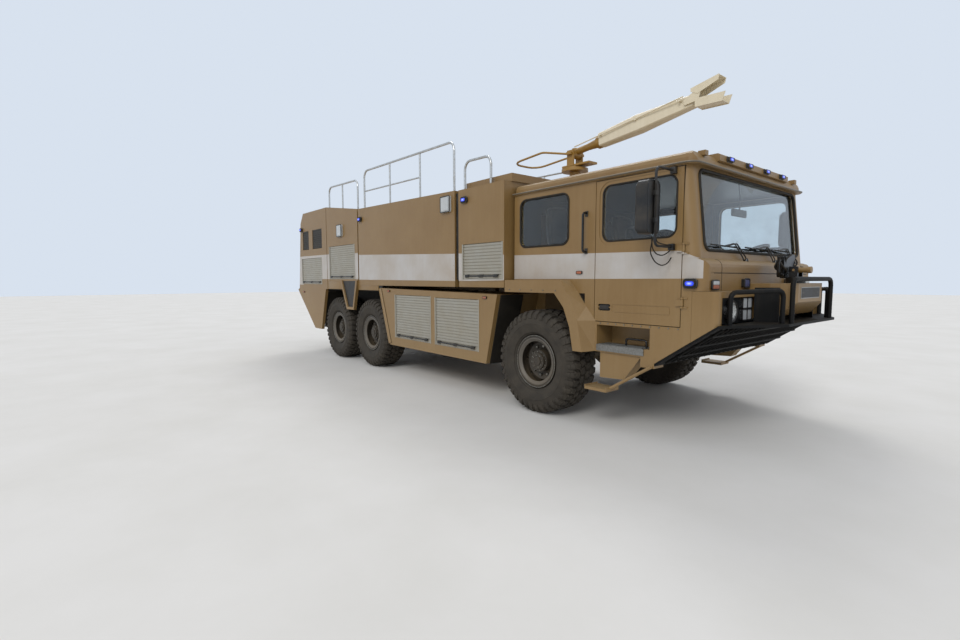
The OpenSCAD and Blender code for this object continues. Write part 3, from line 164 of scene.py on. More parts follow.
def sprayedPaint(name, look):
    # enamel sprayed on steel: an even skin with fine orange peel, bleached by sun, dust in runs and drifts
    material, tree, place = newMaterial(name)
    normal = place.node.outputs["Normal"]
    up = addNode(tree, "ShaderNodeSeparateXYZ", {"Vector": place}).outputs[2]
    facing = addNode(tree, "ShaderNodeSeparateXYZ", {"Vector": normal}).outputs[2]
    colour = hexColour(look["colour"])
    if "band" in look:
        band = bandMask(tree, place, normal)
        colour = addNode(tree, "ShaderNodeMix",
                         {"data_type": "RGBA", 0: band, 6: colour, 7: hexColour(look["band"])})
    # in patches about 0.7 m across
    fade = clouded(tree, place, (1.4, 5.0, 0.6), 0.3, 0.75, 0.0, look["fade"])
    colour = addNode(tree, "ShaderNodeMix",
                     {"data_type": "RGBA", 0: fade, 6: colour, 7: hexColour(look["faded"])})
    # dust lies on flat faces, thickens towards the ground and is washed down in runs 40 mm wide
    coat = addNode(tree, "ShaderNodeMapRange", {"Value": facing, "From Min": 0.2, "From Max": 0.9,
                                                "To Max": look["dustFlat"]})
    low = addNode(tree, "ShaderNodeMapRange", {"Value": up, "From Min": look["dustTop"], "From Max": 0.35,
                                               "To Max": look["dustLow"]})
    runs = addNode(tree, "ShaderNodeMapping", {"Vector": place, "Scale": (1.0, 1.0, 0.07)})
    streaks = clouded(tree, runs, (22.0, 3.0, 0.6), 0.45, 0.75, 0.0, look["streaks"])
    for more in (low, streaks):
        coat = addNode(tree, "ShaderNodeMath", {"operation": "ADD", 0: coat, 1: more})
    # dust grains drawn at 6 mm so that they show
    grains = addNode(tree, "ShaderNodeTexNoise", {"Vector": place, "Scale": 160.0, "Detail": 4.0,
                                                  "Roughness": 0.7})
    heaps = addNode(tree, "ShaderNodeMapRange", {"Value": grains, "From Min": 0.25, "From Max": 0.7,
                                                 "To Min": 0.55, "To Max": 1.1})
    coat = addNode(tree, "ShaderNodeMath", {"operation": "MULTIPLY", 0: coat, 1: heaps})
    dust = addNode(tree, "ShaderNodeClamp", {"Value": coat, "Max": 0.92})
    colour = addNode(tree, "ShaderNodeMix",
                     {"data_type": "RGBA", 0: dust, 6: colour, 7: hexColour(look["dust"])})
    # painted shade: the walls inside the cab take a dark colour
    if "roomShade" in look:
        roomShade = roomShadeMask(tree, place)
        colour = addNode(tree, "ShaderNodeMix",
                         {"data_type": "RGBA", 0: roomShade, 6: colour, 7: hexColour(look["roomShade"])})
    dull = addNode(tree, "ShaderNodeMapRange", {"Value": dust, "From Max": 0.9, "To Min": look["rough"],
                                                "To Max": look["rough"] + 0.32})
    uneven = addNode(tree, "ShaderNodeMapRange", {"Value": grains, "From Min": 0.3, "From Max": 0.7,
                                                  "To Min": -0.04, "To Max": 0.04})
    rough = addNode(tree, "ShaderNodeMath", {"operation": "ADD", 0: dull, 1: uneven})
    # orange peel of about 2.5 mm, and sheet that is slack between its frames
    skin = None
    for scale, depth in ((420.0, 0.0004), (2.6, look["dents"])):
        waves = addNode(tree, "ShaderNodeTexNoise",
                        {"Vector": place, "Scale": scale, "Detail": 2.0, "Roughness": 0.4})
        under = {"Normal": skin} if skin else {}
        skin = addNode(tree, "ShaderNodeBump", {"Height": waves, "Distance": depth, **under})
    return finishMaterial(material, tree,
                          {"IOR": 1.5, "Specular IOR Level": look["shine"], "Base Color": colour,
                           "Roughness": rough, "Normal": skin})


sandLook = {"colour": "#7c6036", "faded": "#8d734a", "fade": 0.5, "dust": "#9a8461", "dustTop": 1.4,
            "dustLow": 0.3,
            "dustFlat": 0.5, "streaks": 0.13, "rough": 0.38, "dents": 0.004, "shine": 0.5}
# each enamel's material and where it departs from the sand enamel
enamels = {
    "sandEnamel": ("sandEnamelSprayed", {}),
    # the white band, and a dark colour inside the cab that is painted shade
    "bandedEnamel": ("sandEnamelWithWhiteBandAndRoomShade", {"band": "#b4b1ad", "roomShade": "#1f2429"}),
    "creamEnamel": ("creamEnamelWorn",
                    {"colour": "#dcd2b9", "faded": "#cbbd9c", "dustLow": 0.0, "dustFlat": 0.25}),
    "blackEnamel": ("blackEnamelGloss",
                    {"colour": "#0c0c0d", "faded": "#1c1c1c", "streaks": 0.02, "dustLow": 0.03,
                     "dustFlat": 0.08, "rough": 0.22, "dents": 0.001}),
    "bellyEnamel": ("blackEnamelMatt",
                    {"colour": "#060606", "faded": "#0b0b0b", "streaks": 0.03, "dustLow": 0.0,
                     "dustFlat": 0.04, "rough": 0.6, "dents": 0.001, "shine": 0.2}),
    "monitorEnamel": ("goldenEnamelWorn", {"colour": "#94702f", "faded": "#a38344", "dustLow": 0.0,
                                           "dustFlat": 0.3}),
    "chassisEnamel": ("blackChassisEnamelDusty", {"colour": "#141311", "faded": "#201e1b", "dustLow": 0.35,
                                                  "dustFlat": 0.4, "rough": 0.5, "dents": 0.001}),
    "ringEnamel": ("greyWheelEnamelDusty",
                   {"colour": "#4b4843", "faded": "#5d5952", "dustTop": 1.2, "streaks": 0.05,
                    "dustLow": 0.15, "dustFlat": 0.15, "rough": 0.45, "dents": 0.001}),
    "railEnamel": ("greyBrownEnamelDusty", {"colour": "#5f584d", "faded": "#716959", "dustLow": 0.0,
                                            "dents": 0.001}),
    "rimEnamel": ("wheelEnamelDusty",
                  {"colour": "#1b1916", "faded": "#26231f", "dustTop": 1.2, "streaks": 0.05,
                   "dustLow": 0.12, "dustFlat": 0.12, "rough": 0.5, "dents": 0.001}),
}
finishes = {key: sprayedPaint(name, {**sandLook, **change}) for key, (name, change) in enamels.items()}


def finishSlats():
    # extruded aluminium, anodised: soft lengthwise sheen, dull where dust clings
    material, tree, place = newMaterial("anodisedAluminiumExtruded")
    across = addNode(tree, "ShaderNodeMapping", {"Vector": place, "Scale": (0.03, 1.0, 1.0)})
    lines = addNode(tree, "ShaderNodeTexNoise", {"Vector": across, "Scale": 300.0, "Detail": 2.0,
                                                 "Roughness": 0.5})  # drawing lines about 3 mm apart
    dust = clouded(tree, place, (5.0, 4.0, 0.55), 0.3, 0.75, 0.2, 0.5)
    colour = addNode(tree, "ShaderNodeMix", {"data_type": "RGBA", 0: dust, 6: hexColour("#adaaa1"),
                                             7: hexColour("#93886f")})
    bright = addNode(tree, "ShaderNodeMapRange", {"Value": dust, "From Min": 0.1, "From Max": 0.8,
                                                  "To Min": 0.75, "To Max": 0.45})
    rough = addNode(tree, "ShaderNodeMapRange", {"Value": dust, "To Min": 0.38, "To Max": 0.7})
    skin = addNode(tree, "ShaderNodeBump", {"Height": lines, "Distance": 0.0003})
    return finishMaterial(material, tree, {"Base Color": colour, "Metallic": bright, "Roughness": rough,
                                           "Normal": skin})


def finishRubber(name, colour, dustColour, amount):
    # vulcanised rubber: matt black with a bloom, dust worked into its skin
    material, tree, place = newMaterial(name)
    cloud = clouded(tree, place, (7.0, 6.0, 0.65), 0.3, 0.72, amount * 0.45, amount)
    grain = addNode(tree, "ShaderNodeTexNoise",
                    {"Vector": place, "Scale": 500.0, "Detail": 2.0, "Roughness": 0.5})
    pores = addNode(tree, "ShaderNodeMapRange", {"Value": grain, "From Min": 0.2, "From Max": 0.8,
                                                 "To Min": 0.7, "To Max": 1.1})
    dust = addNode(tree, "ShaderNodeMath", {"operation": "MULTIPLY", 0: cloud, 1: pores})
    tone = addNode(tree, "ShaderNodeMix", {"data_type": "RGBA", 0: dust, 6: hexColour(colour),
                                           7: hexColour(dustColour)})
    rough = addNode(tree, "ShaderNodeMapRange",
                    {"Value": dust, "From Max": 0.8, "To Min": 0.6, "To Max": 0.9})
    skin = addNode(tree, "ShaderNodeBump", {"Height": grain, "Distance": 0.0005})
    return finishMaterial(material, tree, {"IOR": 1.5, "Specular IOR Level": 0.25, "Base Color": tone,
                                           "Roughness": rough, "Normal": skin})


# wipers: places of the spindles across the windscreen, and the arcs that the blades keep clear of dust
wipers = {"spindles": (-0.366, 0.378, 0.935), "sweepUp": 1.83, "inner": 0.16, "outer": 0.78, "edge": 0.01,
          "dust": 0.13, "ahead": 1.76, "blade": 0.62, "reach": 0.40, "up": 0.125}


def dustOnScreen(tree, place):
    # a film on the windscreen alone, in grains, outside the arcs
    part = addNode(tree, "ShaderNodeSeparateXYZ", {"Vector": place}).outputs
    flat = addNode(tree, "ShaderNodeCombineXYZ", {0: 0.0, 1: part[1], 2: part[2]})
    dusty = 1.0
    for y in wipers["spindles"]:
        reach = addNode(tree, "ShaderNodeVectorMath",
                        {"operation": "DISTANCE", 0: flat, 1: (0.0, y, wipers["sweepUp"])})
        limits = []
        for radius, edge in ((wipers["outer"], wipers["edge"]), (wipers["inner"], -wipers["edge"])):
            limits.append(addNode(tree, "ShaderNodeMapRange",
                                  {"Value": reach.outputs["Value"], "From Min": radius - edge,
                                   "From Max": radius + edge}))
        outside = addNode(tree, "ShaderNodeMath", {"operation": "MAXIMUM", 0: limits[0], 1: limits[1]})
        dusty = addNode(tree, "ShaderNodeMath", {"operation": "MULTIPLY", 0: dusty, 1: outside})
    ahead = addNode(tree, "ShaderNodeMath",
                    {"operation": "GREATER_THAN", 0: part[0], 1: frontAxle + wipers["ahead"]})
    grains = clouded(tree, place, (60.0, 5.0, 0.7), 0.3, 0.7, 0.5, 1.2)
    for more in (ahead, wipers["dust"], grains):
        dusty = addNode(tree, "ShaderNodeMath", {"operation": "MULTIPLY", 0: dusty, 1: more})
    return dusty


def finishGlass(name, swept):
    # toughened float glass, faintly green, under a thin film of dust that the wipers have cleared in arcs
    material, tree, place = newMaterial(name)
    film = clouded(tree, place, (3.5, 6.0, 0.7), 0.35, 0.8, 0.0, 0.05)
    if swept:
        film = addNode(tree, "ShaderNodeMath", {"operation": "ADD", 0: film, 1: dustOnScreen(tree, place)})
    glass = addNode(tree, "ShaderNodeBsdfPrincipled",
                    {"Base Color": hexColour("#e4edf0"), "Transmission Weight": 1.0,
                     "Roughness": 0.0, "IOR": 1.45})
    dust = addNode(tree, "ShaderNodeBsdfPrincipled", {"Base Color": hexColour("#a1947c"), "Roughness": 0.9})
    both = addNode(tree, "ShaderNodeMixShader", {0: film, 1: glass, 2: dust})
    addNode(tree, "ShaderNodeOutputMaterial", {"Surface": both})
    return material


def finishLens(name, colour, glow):
    # moulded polycarbonate lens: clear gloss over fine ribs about 6 mm apart, lit from behind where it glows
    material, tree, place = newMaterial(name)
    ribs = addNode(tree, "ShaderNodeTexWave",
                   {"Scale": 60.0, "bands_direction": "Z", "Vector": place}).outputs["Fac"]
    pale = addNode(tree, "ShaderNodeMapRange", {"Value": ribs, "To Max": 0.1})
    tone = addNode(tree, "ShaderNodeMix",
                   {"data_type": "RGBA", 0: pale, 6: hexColour(colour), 7: hexColour("#ffffff")})
    skin = addNode(tree, "ShaderNodeBump", {"Height": ribs, "Distance": 0.0012})
    return finishMaterial(material, tree, {"IOR": 1.5, "Roughness": 0.28, "Base Color": tone, "Normal": skin,
                                           "Emission Color": hexColour(colour), "Emission Strength": glow})


def finishLitLens(name, edgeColour, coreColour):
    # moulded polycarbonate lens lit from behind: the lamp shows as a pale core that falls off to deep blue
    material, tree, place = newMaterial(name)
    core = addNode(tree, "ShaderNodeAttribute", {"attribute_name": "core"}).outputs["Fac"]
    ribs = addNode(tree, "ShaderNodeTexWave",
                   {"Scale": 60.0, "bands_direction": "Z", "Vector": place}).outputs["Fac"]
    near = addNode(tree, "ShaderNodeMapRange", {"Value": core, "From Min": 0.25, "From Max": 0.95})
    glow = addNode(tree, "ShaderNodeMix", {"data_type": "RGBA", 0: near, 6: hexColour(edgeColour),
                                           7: hexColour(coreColour)})
    strength = addNode(tree, "ShaderNodeMapRange", {"Value": core, "To Min": 0.45})
    skin = addNode(tree, "ShaderNodeBump", {"Height": ribs, "Distance": 0.0012})
    return finishMaterial(material, tree, {"IOR": 1.58, "Roughness": 0.12, "Coat Weight": 0.6, "Normal": skin,
                                           "Base Color": hexColour(edgeColour), "Emission Color": glow,
                                           "Emission Strength": strength})


def finishMoulded(name, colour, rough, grain=260.0):
    # moulded ABS: even dark skin with a leather-like grain of about 4 mm
    material, tree, place = newMaterial(name)
    cells = addNode(tree, "ShaderNodeTexVoronoi", {"Vector": place, "Scale": grain})
    dust = clouded(tree, place, (6.0, 5.0, 0.6), 0.4, 0.8, 0.0, 0.25)
    tone = addNode(tree, "ShaderNodeMix",
                   {"data_type": "RGBA", 0: dust, 6: hexColour(colour), 7: hexColour("#6f6453")})
    dull = addNode(tree, "ShaderNodeMapRange",
                   {"Value": dust, "From Max": 0.3, "To Min": rough, "To Max": rough + 0.2})
    skin = addNode(tree, "ShaderNodeBump", {"Height": cells, "Distance": 0.0005})
    return finishMaterial(material, tree, {"IOR": 1.5, "Base Color": tone, "Roughness": dull, "Normal": skin})


def finishMetal(name, colour, dullColour, scale, worn, shine, depth):
    # bare metal with a skin of wear: dull oxide or scuffs a few centimetres wide over the bright ground
    material, tree, place = newMaterial(name)
    wear = addNode(tree, "ShaderNodeTexNoise", {"Vector": place, "Scale": scale, "Detail": 5.0,
                                                "Roughness": worn["noise"]})
    dull = addNode(tree, "ShaderNodeMapRange",
                   {"Value": wear, "From Min": worn["from"], "From Max": worn["to"]})
    tone = addNode(tree, "ShaderNodeMix", {"data_type": "RGBA", 0: dull, 6: hexColour(colour),
                                           7: hexColour(dullColour)})
    low, high, bright, matt = shine
    rough = addNode(tree, "ShaderNodeMapRange", {"Value": wear, "From Min": low, "From Max": high,
                                                 "To Min": bright, "To Max": matt})
    skin = addNode(tree, "ShaderNodeBump", {"Height": wear, "Distance": depth})
    return finishMaterial(material, tree,
                          {"Metallic": 1.0, "Base Color": tone, "Roughness": rough, "Normal": skin})


def finishTube():
    # bright drawn steel tube: polished along its length by hands, dusty on top
    worn = {"noise": 0.7, "from": 0.4, "to": 0.7}
    return finishMetal("drawnSteelTubeBright", "#c9cac9", "#9f9a90", 40.0, worn, (0.3, 0.8, 0.24, 0.5),
                       0.0003)


def finishBareMetal(name, colour, dullColour, rough):
    worn = {"noise": 0.65, "from": 0.42, "to": 0.72}
    shine = (worn["from"], worn["to"], rough, rough + 0.25)
    return finishMetal(name, colour, dullColour, 45.0, worn, shine, 0.0002)


def finishWeave(name, colour, thread):
    # woven polyester seat cover: over-and-under threads, drawn twice as coarse as real so that they show
    material, tree, place = newMaterial(name)
    weave = 1.0
    for direction in ("Y", "Z"):
        wave = addNode(tree, "ShaderNodeTexWave",
                       {"Vector": place, "Scale": 0.5 / thread, "bands_direction": direction})
        weave = addNode(tree, "ShaderNodeMath", {"operation": "MULTIPLY", 0: weave, 1: wave.outputs["Fac"]})
    raised = addNode(tree, "ShaderNodeMath", {"operation": "MULTIPLY", 0: weave, 1: 0.6})
    tone = addNode(tree, "ShaderNodeMix", {"data_type": "RGBA", 0: raised, 6: hexColour(colour),
                                           7: hexColour("#4a4d52")})
    fluff = clouded(tree, place, (30.0, 4.0, 0.6), 0.45, 0.8, 0.0, 0.3)
    tone = addNode(tree, "ShaderNodeMix", {"data_type": "RGBA", 0: fluff, 6: tone, 7: hexColour("#80745f")})
    skin = addNode(tree, "ShaderNodeBump", {"Height": weave, "Distance": 0.0008})
    return finishMaterial(material, tree, {"Sheen Weight": 0.3, "Roughness": 0.85, "Base Color": tone,
                                           "Normal": skin})


finishes.update({
    "slats": finishSlats(),
    "glass": finishGlass("toughenedFloatGlass", False),
    "screenGlass": finishGlass("laminatedScreenGlassDusty", True),
    "tyreRubber": finishRubber("vulcanisedTyreRubberDusty", "#161514", "#5f574b", 0.52),
    "sheetRubber": finishRubber("vulcanisedSheetRubber", "#0f0f0f", "#5f5648", 0.25),
    "clearLens": finishLens("polycarbonateLensClear", "#b9bdbd", 0.0),
    "blueLens": finishLitLens("polycarbonateLensBlueLit", "#0a35dc", "#d3e4ff"),
    "amberLens": finishLens("polycarbonateLensAmber", "#99480b", 0.05),
    "redLens": finishLens("polycarbonateLensRed", "#7a0b08", 0.03),
    "darkBlueLens": finishLens("polycarbonateLensBlueUnlit", "#101d5e", 0.02),
    "treadAluminium": finishBareMetal("rolledAluminiumWorn", "#8d8c88", "#7c786f", 0.45),
    "reflector": finishBareMetal("aluminisedReflector", "#d9dcdc", "#a9aaa6", 0.16),
    "mouldedBlack": finishMoulded("absMouldedBlack", "#0e0e0f", 0.45),
    "dashPlastic": finishMoulded("absMouldedGrey", "#1c1d1f", 0.6),
    "brightTube": finishTube(),
    "seatWeave": finishWeave("polyesterSeatWeave", "#1b1d22", 0.004),
    "wornSteel": finishBareMetal("zincPlatedSteelWorn", "#8d8a82", "#5d5243", 0.42),
    "mirrorGlass": finishBareMetal("silveredFloatGlass", "#e6eaec", "#d5d8d6", 0.03),
    "plateGrey": finishMoulded("pressedPlateGrey", "#9b9b98", 0.4, 400.0),
})

# which finish each node of the frame wears: by its slot, unless it has its own
slotFinish = {"sand_paint": "sandEnamel", "chassis_paint": "chassisEnamel", "glass": "glass",
              "seat_fabric": "seatWeave",
              "dash_plastic": "dashPlastic", "shutter_aluminium": "slats", "black_steel": "blackEnamel",
              "lamp_clear": "clearLens", "lamp_blue": "blueLens", "lamp_amber": "amberLens",
              "rail_tube": "brightTube",
              "mudguard_rubber": "sheetRubber", "mirror_black": "mouldedBlack", "cream_paint": "creamEnamel",
              "tyre": "tyreRubber", "rim_paint": "rimEnamel"}
ownFinish = {"blue_lamps": "mouldedBlack", "marker_lamps": "mouldedBlack", "cab_steps": "treadAluminium",
             "headlamps": "reflector", "bull_bar": "bellyEnamel", "cab_glass": "screenGlass"}
for name in ("monitor_breech", "roof_turret", "monitor_base"):
    ownFinish[name] = "monitorEnamel"
for name in ("cab_shell", "cab_roof", "door_right", "door_left", "front_body", "tank_body", "rear_locker",
             "engine_bay"):
    ownFinish[name] = "bandedEnamel"
slotOf = {part["node"]: part["material_slot"] for part in frame["record"]["subparts"]}
for name, node in nodes.items():
    for slot in node.material_slots:
        slot.material = finishes[ownFinish.get(name, slotFinish[slotOf[name]])]
print("materials are on the frame's nodes")


# shapes made in mesh code

def addBox(form, corner, opposite, bevel=0.0):
    low, high = Vector(map(min, corner, opposite)), Vector(map(max, corner, opposite))
    made = bmesh.ops.create_cube(form, size=1.0)["verts"]
    for v in made:
        v.co = (low + high) / 2 + Vector(v.co[i] * (high - low)[i] for i in range(3))
    if bevel:
        edges = list({e for v in made for e in v.link_edges})
        bmesh.ops.bevel(form, geom=edges, offset=bevel, segments=2, profile=0.6, affect="EDGES")


def addLathe(form, profile, centre, direction, steps, closed=False):
    # the profile's points are a height along the direction and a radius about it
    turn = Vector(direction).to_track_quat("Z", "Y")
    rings = []
    for i in range(steps):
        a = 2 * math.pi * i / steps
        rings.append([form.verts.new(Vector(centre) + turn @ Vector((r * math.cos(a), r * math.sin(a), h)))
                      for h, r in profile])
    count = len(profile)
    for i in range(steps):
        here, there = rings[i], rings[(i + 1) % steps]
        for k in range(count if closed else count - 1):
            n = (k + 1) % count
            form.faces.new((here[k], there[k], there[n], here[n]))


def addSheet(form, outline, thickness, toPlace):
    faces = []
    for depth in (0.0, thickness):
        faces.append([form.verts.new(toPlace(u, v, depth)) for u, v in outline])
    form.faces.new(faces[0])
    form.faces.new(list(reversed(faces[1])))
    for k in range(len(outline)):
        n = (k + 1) % len(outline)
        form.faces.new((faces[0][n], faces[0][k], faces[1][k], faces[1][n]))


def roundedLoop(left, right, low, high, radius, steps=7):
    points = []
    for cx, cy, start in ((right - radius, high - radius, 0), (left + radius, high - radius, 90),
                          (left + radius, low + radius, 180), (right - radius, low + radius, 270)):
        for k in range(steps + 1):
            a = math.radians(start + 90 * k / steps)
            points.append((cx + radius * math.cos(a), cy + radius * math.sin(a)))
    return points


# planes that outlines are drawn on: u runs along or across the truck, v up, d out of the wall

def sideways(side, plane):
    return lambda u, v, d=0.0: at(u, side * (plane + d), v)


def forwards(side, plane):
    return lambda u, v, d=0.0: at(plane + d, side * u, v)


def loopOn(toPlace, left, right, low, high, radius):
    return [toPlace(u, v) for u, v in roundedLoop(left, right, low, high, radius)]


def linked(name, data):
    thing = bpy.data.objects.new(name, data)
    bpy.context.scene.collection.objects.link(thing)
    return thing


def meshOf(name, form):
    mesh = bpy.data.meshes.new(name)
    form.to_mesh(mesh)
    form.free()
    return mesh


def dressed(name, mesh, finish, crease=35.0):
    mesh.polygons.foreach_set("use_smooth", [True] * len(mesh.polygons))
    mesh.set_sharp_from_angle(angle=math.radians(crease))
    if finish:
        mesh.materials.append(finishes[finish])
    return linked(name, mesh)


def meshPiece(name, form, finish, crease=35.0):
    bmesh.ops.remove_doubles(form, verts=form.verts, dist=0.00003)
    bmesh.ops.recalc_face_normals(form, faces=form.faces)
    return dressed(name, meshOf(name, form), finish, crease)


def settle(piece, body, slotName, *replaced):
    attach(piece, body)
    if replaced:
        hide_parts(*replaced)


# node trees for what repeats or follows a path

def newTree(name, inputs):
    tree = bpy.data.node_groups.new(name, "GeometryNodeTree")
    tree.interface.new_socket("Geometry", in_out="INPUT", socket_type="NodeSocketGeometry")
    for label, kind, value in inputs:
        socket = tree.interface.new_socket(label, in_out="INPUT", socket_type="NodeSocket" + kind)
        if value is not None:
            socket.default_value = value
    tree.interface.new_socket("Finish", in_out="INPUT", socket_type="NodeSocketMaterial")
    tree.interface.new_socket("Geometry", in_out="OUTPUT", socket_type="NodeSocketGeometry")
    return tree, addNode(tree, "NodeGroupInput").outputs


def endTree(tree, geometry, finish):
    whole = addNode(tree, "GeometryNodeRealizeInstances", {"Geometry": geometry})
    painted = addNode(tree, "GeometryNodeSetMaterial", {"Geometry": whole, "Material": finish})
    addNode(tree, "NodeGroupOutput", {"Geometry": painted})


def grown(name, source, tree, values, crease=35.0):
    # the source with the tree's modifier, as a plain mesh
    carrier = linked(name + "Source", source)
    grower = carrier.modifiers.new("grower", "NODES")
    grower.node_group = tree
    for item in tree.interface.items_tree:
        if item.item_type == "SOCKET" and item.in_out == "INPUT" and item.name in values:
            grower[item.identifier] = values[item.name]
    bpy.context.view_layer.update()
    evaluated = carrier.evaluated_get(bpy.context.evaluated_depsgraph_get())
    mesh = bpy.data.meshes.new_from_object(evaluated)
    carrier.modifiers.remove(grower)
    bpy.data.objects.remove(carrier)
    mesh.name = name
    return dressed(name, mesh, None, crease)


def makeFastenerTree():
    # heads on points: each stands along its point's "facing", turned at random about it
    tree, given = newTree("headsOnPoints", [("Head radius", "Float", 0.008), ("Head height", "Float", 0.006),
                                            ("Corners", "Int", 6), ("Taper", "Float", 0.85),
                                            ("Seed", "Int", 7)])
    top = addNode(tree, "ShaderNodeMath",
                  {"operation": "MULTIPLY", 0: given["Head radius"], 1: given["Taper"]})
    head = addNode(tree, "GeometryNodeMeshCone", {"Vertices": given["Corners"], "Radius Top": top,
                                                  "Radius Bottom": given["Head radius"],
                                                  "Depth": given["Head height"]})
    facing = addNode(tree, "GeometryNodeInputNamedAttribute", {"data_type": "FLOAT_VECTOR", "Name": "facing"})
    stand = addNode(tree, "FunctionNodeAlignRotationToVector", {"axis": "Z", "Vector": facing.outputs[0]})
    chance = addNode(tree, "FunctionNodeRandomValue", {"data_type": "FLOAT", "Seed": given["Seed"]})
    angle = addNode(tree, "ShaderNodeMath", {"operation": "MULTIPLY", 0: chance.outputs[1], 1: 6.283})
    spin = addNode(tree, "FunctionNodeAxisAngleToRotation", {"Angle": angle})
    both = addNode(tree, "FunctionNodeRotateRotation", {"rotation_space": "LOCAL", 0: stand, 1: spin})
    heads = addNode(tree, "GeometryNodeInstanceOnPoints", {"Points": given["Geometry"], "Instance": head,
                                                           "Rotation": both})
    endTree(tree, heads, given["Finish"])
    return tree


def makePathTree():
    # a round tube along the edges of its source
    tree, given = newTree("tubeOnPath", [("Radius", "Float", 0.01), ("Sides", "Int", 10)])
    curve = addNode(tree, "GeometryNodeMeshToCurve", {"Mesh": given["Geometry"]})
    ring = addNode(tree, "GeometryNodeCurvePrimitiveCircle", {"Resolution": given["Sides"],
                                                             "Radius": given["Radius"]})
    tube = addNode(tree, "GeometryNodeCurveToMesh",
                   {"Curve": curve, "Profile Curve": ring, "Fill Caps": True})
    endTree(tree, tube, given["Finish"])
    return tree


def makeTreadTree(rows, count):
    # rows of tread blocks round a tyre that is centred at the origin, joined to its carcass
    tree, given = newTree("blocksRoundTyre", [("Block", "Object", None), ("Phase", "Float", 0.0)])
    block = addNode(tree, "GeometryNodeObjectInfo", {"Object": given["Block"]}).outputs["Geometry"]
    index = addNode(tree, "GeometryNodeInputIndex")
    joined = addNode(tree, "GeometryNodeJoinGeometry", {"Geometry": given["Geometry"]})
    pitch = 2 * math.pi / count
    for across, radius, length, width, height, twist, tilt, shift in rows:
        turn = addNode(tree, "ShaderNodeMath",
                       {"operation": "MULTIPLY_ADD", 0: index, 1: pitch, 2: shift * pitch})
        turn = addNode(tree, "ShaderNodeMath", {"operation": "ADD", 0: turn, 1: given["Phase"]})
        spot = {1: across}
        for axis, operation in ((0, "SINE"), (2, "COSINE")):
            swing = addNode(tree, "ShaderNodeMath", {"operation": operation, 0: turn})
            spot[axis] = addNode(tree, "ShaderNodeMath", {"operation": "MULTIPLY", 0: swing, 1: radius})
        place = addNode(tree, "ShaderNodeCombineXYZ", spot)
        points = addNode(tree, "GeometryNodePoints", {"Count": count, "Position": place})
        around = addNode(tree, "FunctionNodeAxisAngleToRotation", {"Axis": (0, 1, 0), "Angle": turn})
        for axis, angle in (((1, 0, 0), tilt), ((0, 0, 1), twist)):
            lean = addNode(tree, "FunctionNodeAxisAngleToRotation",
                           {"Axis": axis, "Angle": math.radians(angle)})
            around = addNode(tree, "FunctionNodeRotateRotation",
                             {"rotation_space": "LOCAL", 0: around, 1: lean})
        blocks = addNode(tree, "GeometryNodeInstanceOnPoints", {"Points": points, "Instance": block,
                                                               "Rotation": around,
                                                               "Scale": (length, width, height)})
        tree.links.new(joined.inputs[0], blocks.outputs[0])
    endTree(tree, joined, given["Finish"])
    return tree


fastenerTree = makeFastenerTree()
pathTree = makePathTree()


def headsAt(name, spots, finish, radius, height, corners=6, taper=0.85):
    # each spot is a place and the direction that the head faces
    mesh = bpy.data.meshes.new(name)
    mesh.from_pydata([tuple(place) for place, out in spots], [], [])
    facing = mesh.attributes.new("facing", "FLOAT_VECTOR", "POINT")
    facing.data.foreach_set("vector", [c for place, out in spots for c in out])
    return grown(name, mesh, fastenerTree, {"Head radius": radius, "Head height": height, "Corners": corners,
                                            "Taper": taper, "Finish": finishes[finish]})


def tubesAlong(name, paths, finish, radius, corners=10, closed=False):
    points, edges = [], []
    for path in paths:
        first = len(points)
        points += [tuple(p) for p in path]
        edges += [(first + k, first + k + 1) for k in range(len(path) - 1)]
        if closed:
            edges.append((len(points) - 1, first))
    mesh = bpy.data.meshes.new(name)
    mesh.from_pydata(points, edges, [])
    return grown(name, mesh, pathTree, {"Radius": radius, "Sides": corners, "Finish": finishes[finish]}, 60.0)


def bentPath(corners, radius, steps=6):
    # straight runs whose corners are rounded off
    path = [Vector(corners[0])]
    for a, b, c in zip(corners, corners[1:], corners[2:]):
        a, b, c = Vector(a), Vector(b), Vector(c)
        reach = min(radius, (a - b).length * 0.45, (c - b).length * 0.45)
        start, end = b + (a - b).normalized() * reach, b + (c - b).normalized() * reach
        for k in range(steps + 1):
            t = k / steps
            path.append(start * (1 - t) ** 2 + b * 2 * t * (1 - t) + end * t ** 2)
    path.append(Vector(corners[-1]))
    return path


# tyres: a moulded carcass with rows of tread blocks, and lugs on the shoulders and the walls

tyreLook = {
    "blocks": 38, "steps": 96, "phase": 0.37,  # each tread starts this much further round than the last
    # across, radius, length round the tyre, width, height, twist, tilt, shift in pitches
    "rows": [(-0.042, 0.620, 0.074, 0.070, 0.026, 24, 0, 0.0),
             (0.042, 0.620, 0.074, 0.070, 0.026, 24, 0, 0.5),
             (-0.131, 0.617, 0.072, 0.086, 0.030, -12, 4, 0.35),
             (0.131, 0.617, 0.072, 0.086, 0.030, -12, -4, 0.15),
             (-0.201, 0.592, 0.062, 0.060, 0.030, 0, 48, 0.35),
             (0.201, 0.592, 0.062, 0.060, 0.030, 0, -48, 0.15),
             (-0.2245, 0.548, 0.050, 0.062, 0.018, 0, 84, 0.35),
             (0.2245, 0.548, 0.050, 0.062, 0.018, 0, -84, 0.15)],
    # half of the carcass: across, radius
    "section": [(0.150, 0.3005), (0.1505, 0.3200), (0.176, 0.3330), (0.186, 0.3480), (0.190, 0.3520),
                (0.197, 0.3530), (0.209, 0.392), (0.217, 0.425), (0.2215, 0.450), (0.2245, 0.453),
                (0.2245, 0.461),
                (0.2215, 0.464), (0.219, 0.500), (0.214, 0.535), (0.2155, 0.538), (0.2145, 0.546),
                (0.2095, 0.550),
                (0.200, 0.568), (0.180, 0.588), (0.140, 0.594), (0.070, 0.597), (0.0, 0.598)],
}
wheels = [(place + "_" + side, at(x, s * wheelOut, wheelUp), s) for place, x in axles.items()
          for side, s in sides.items()]


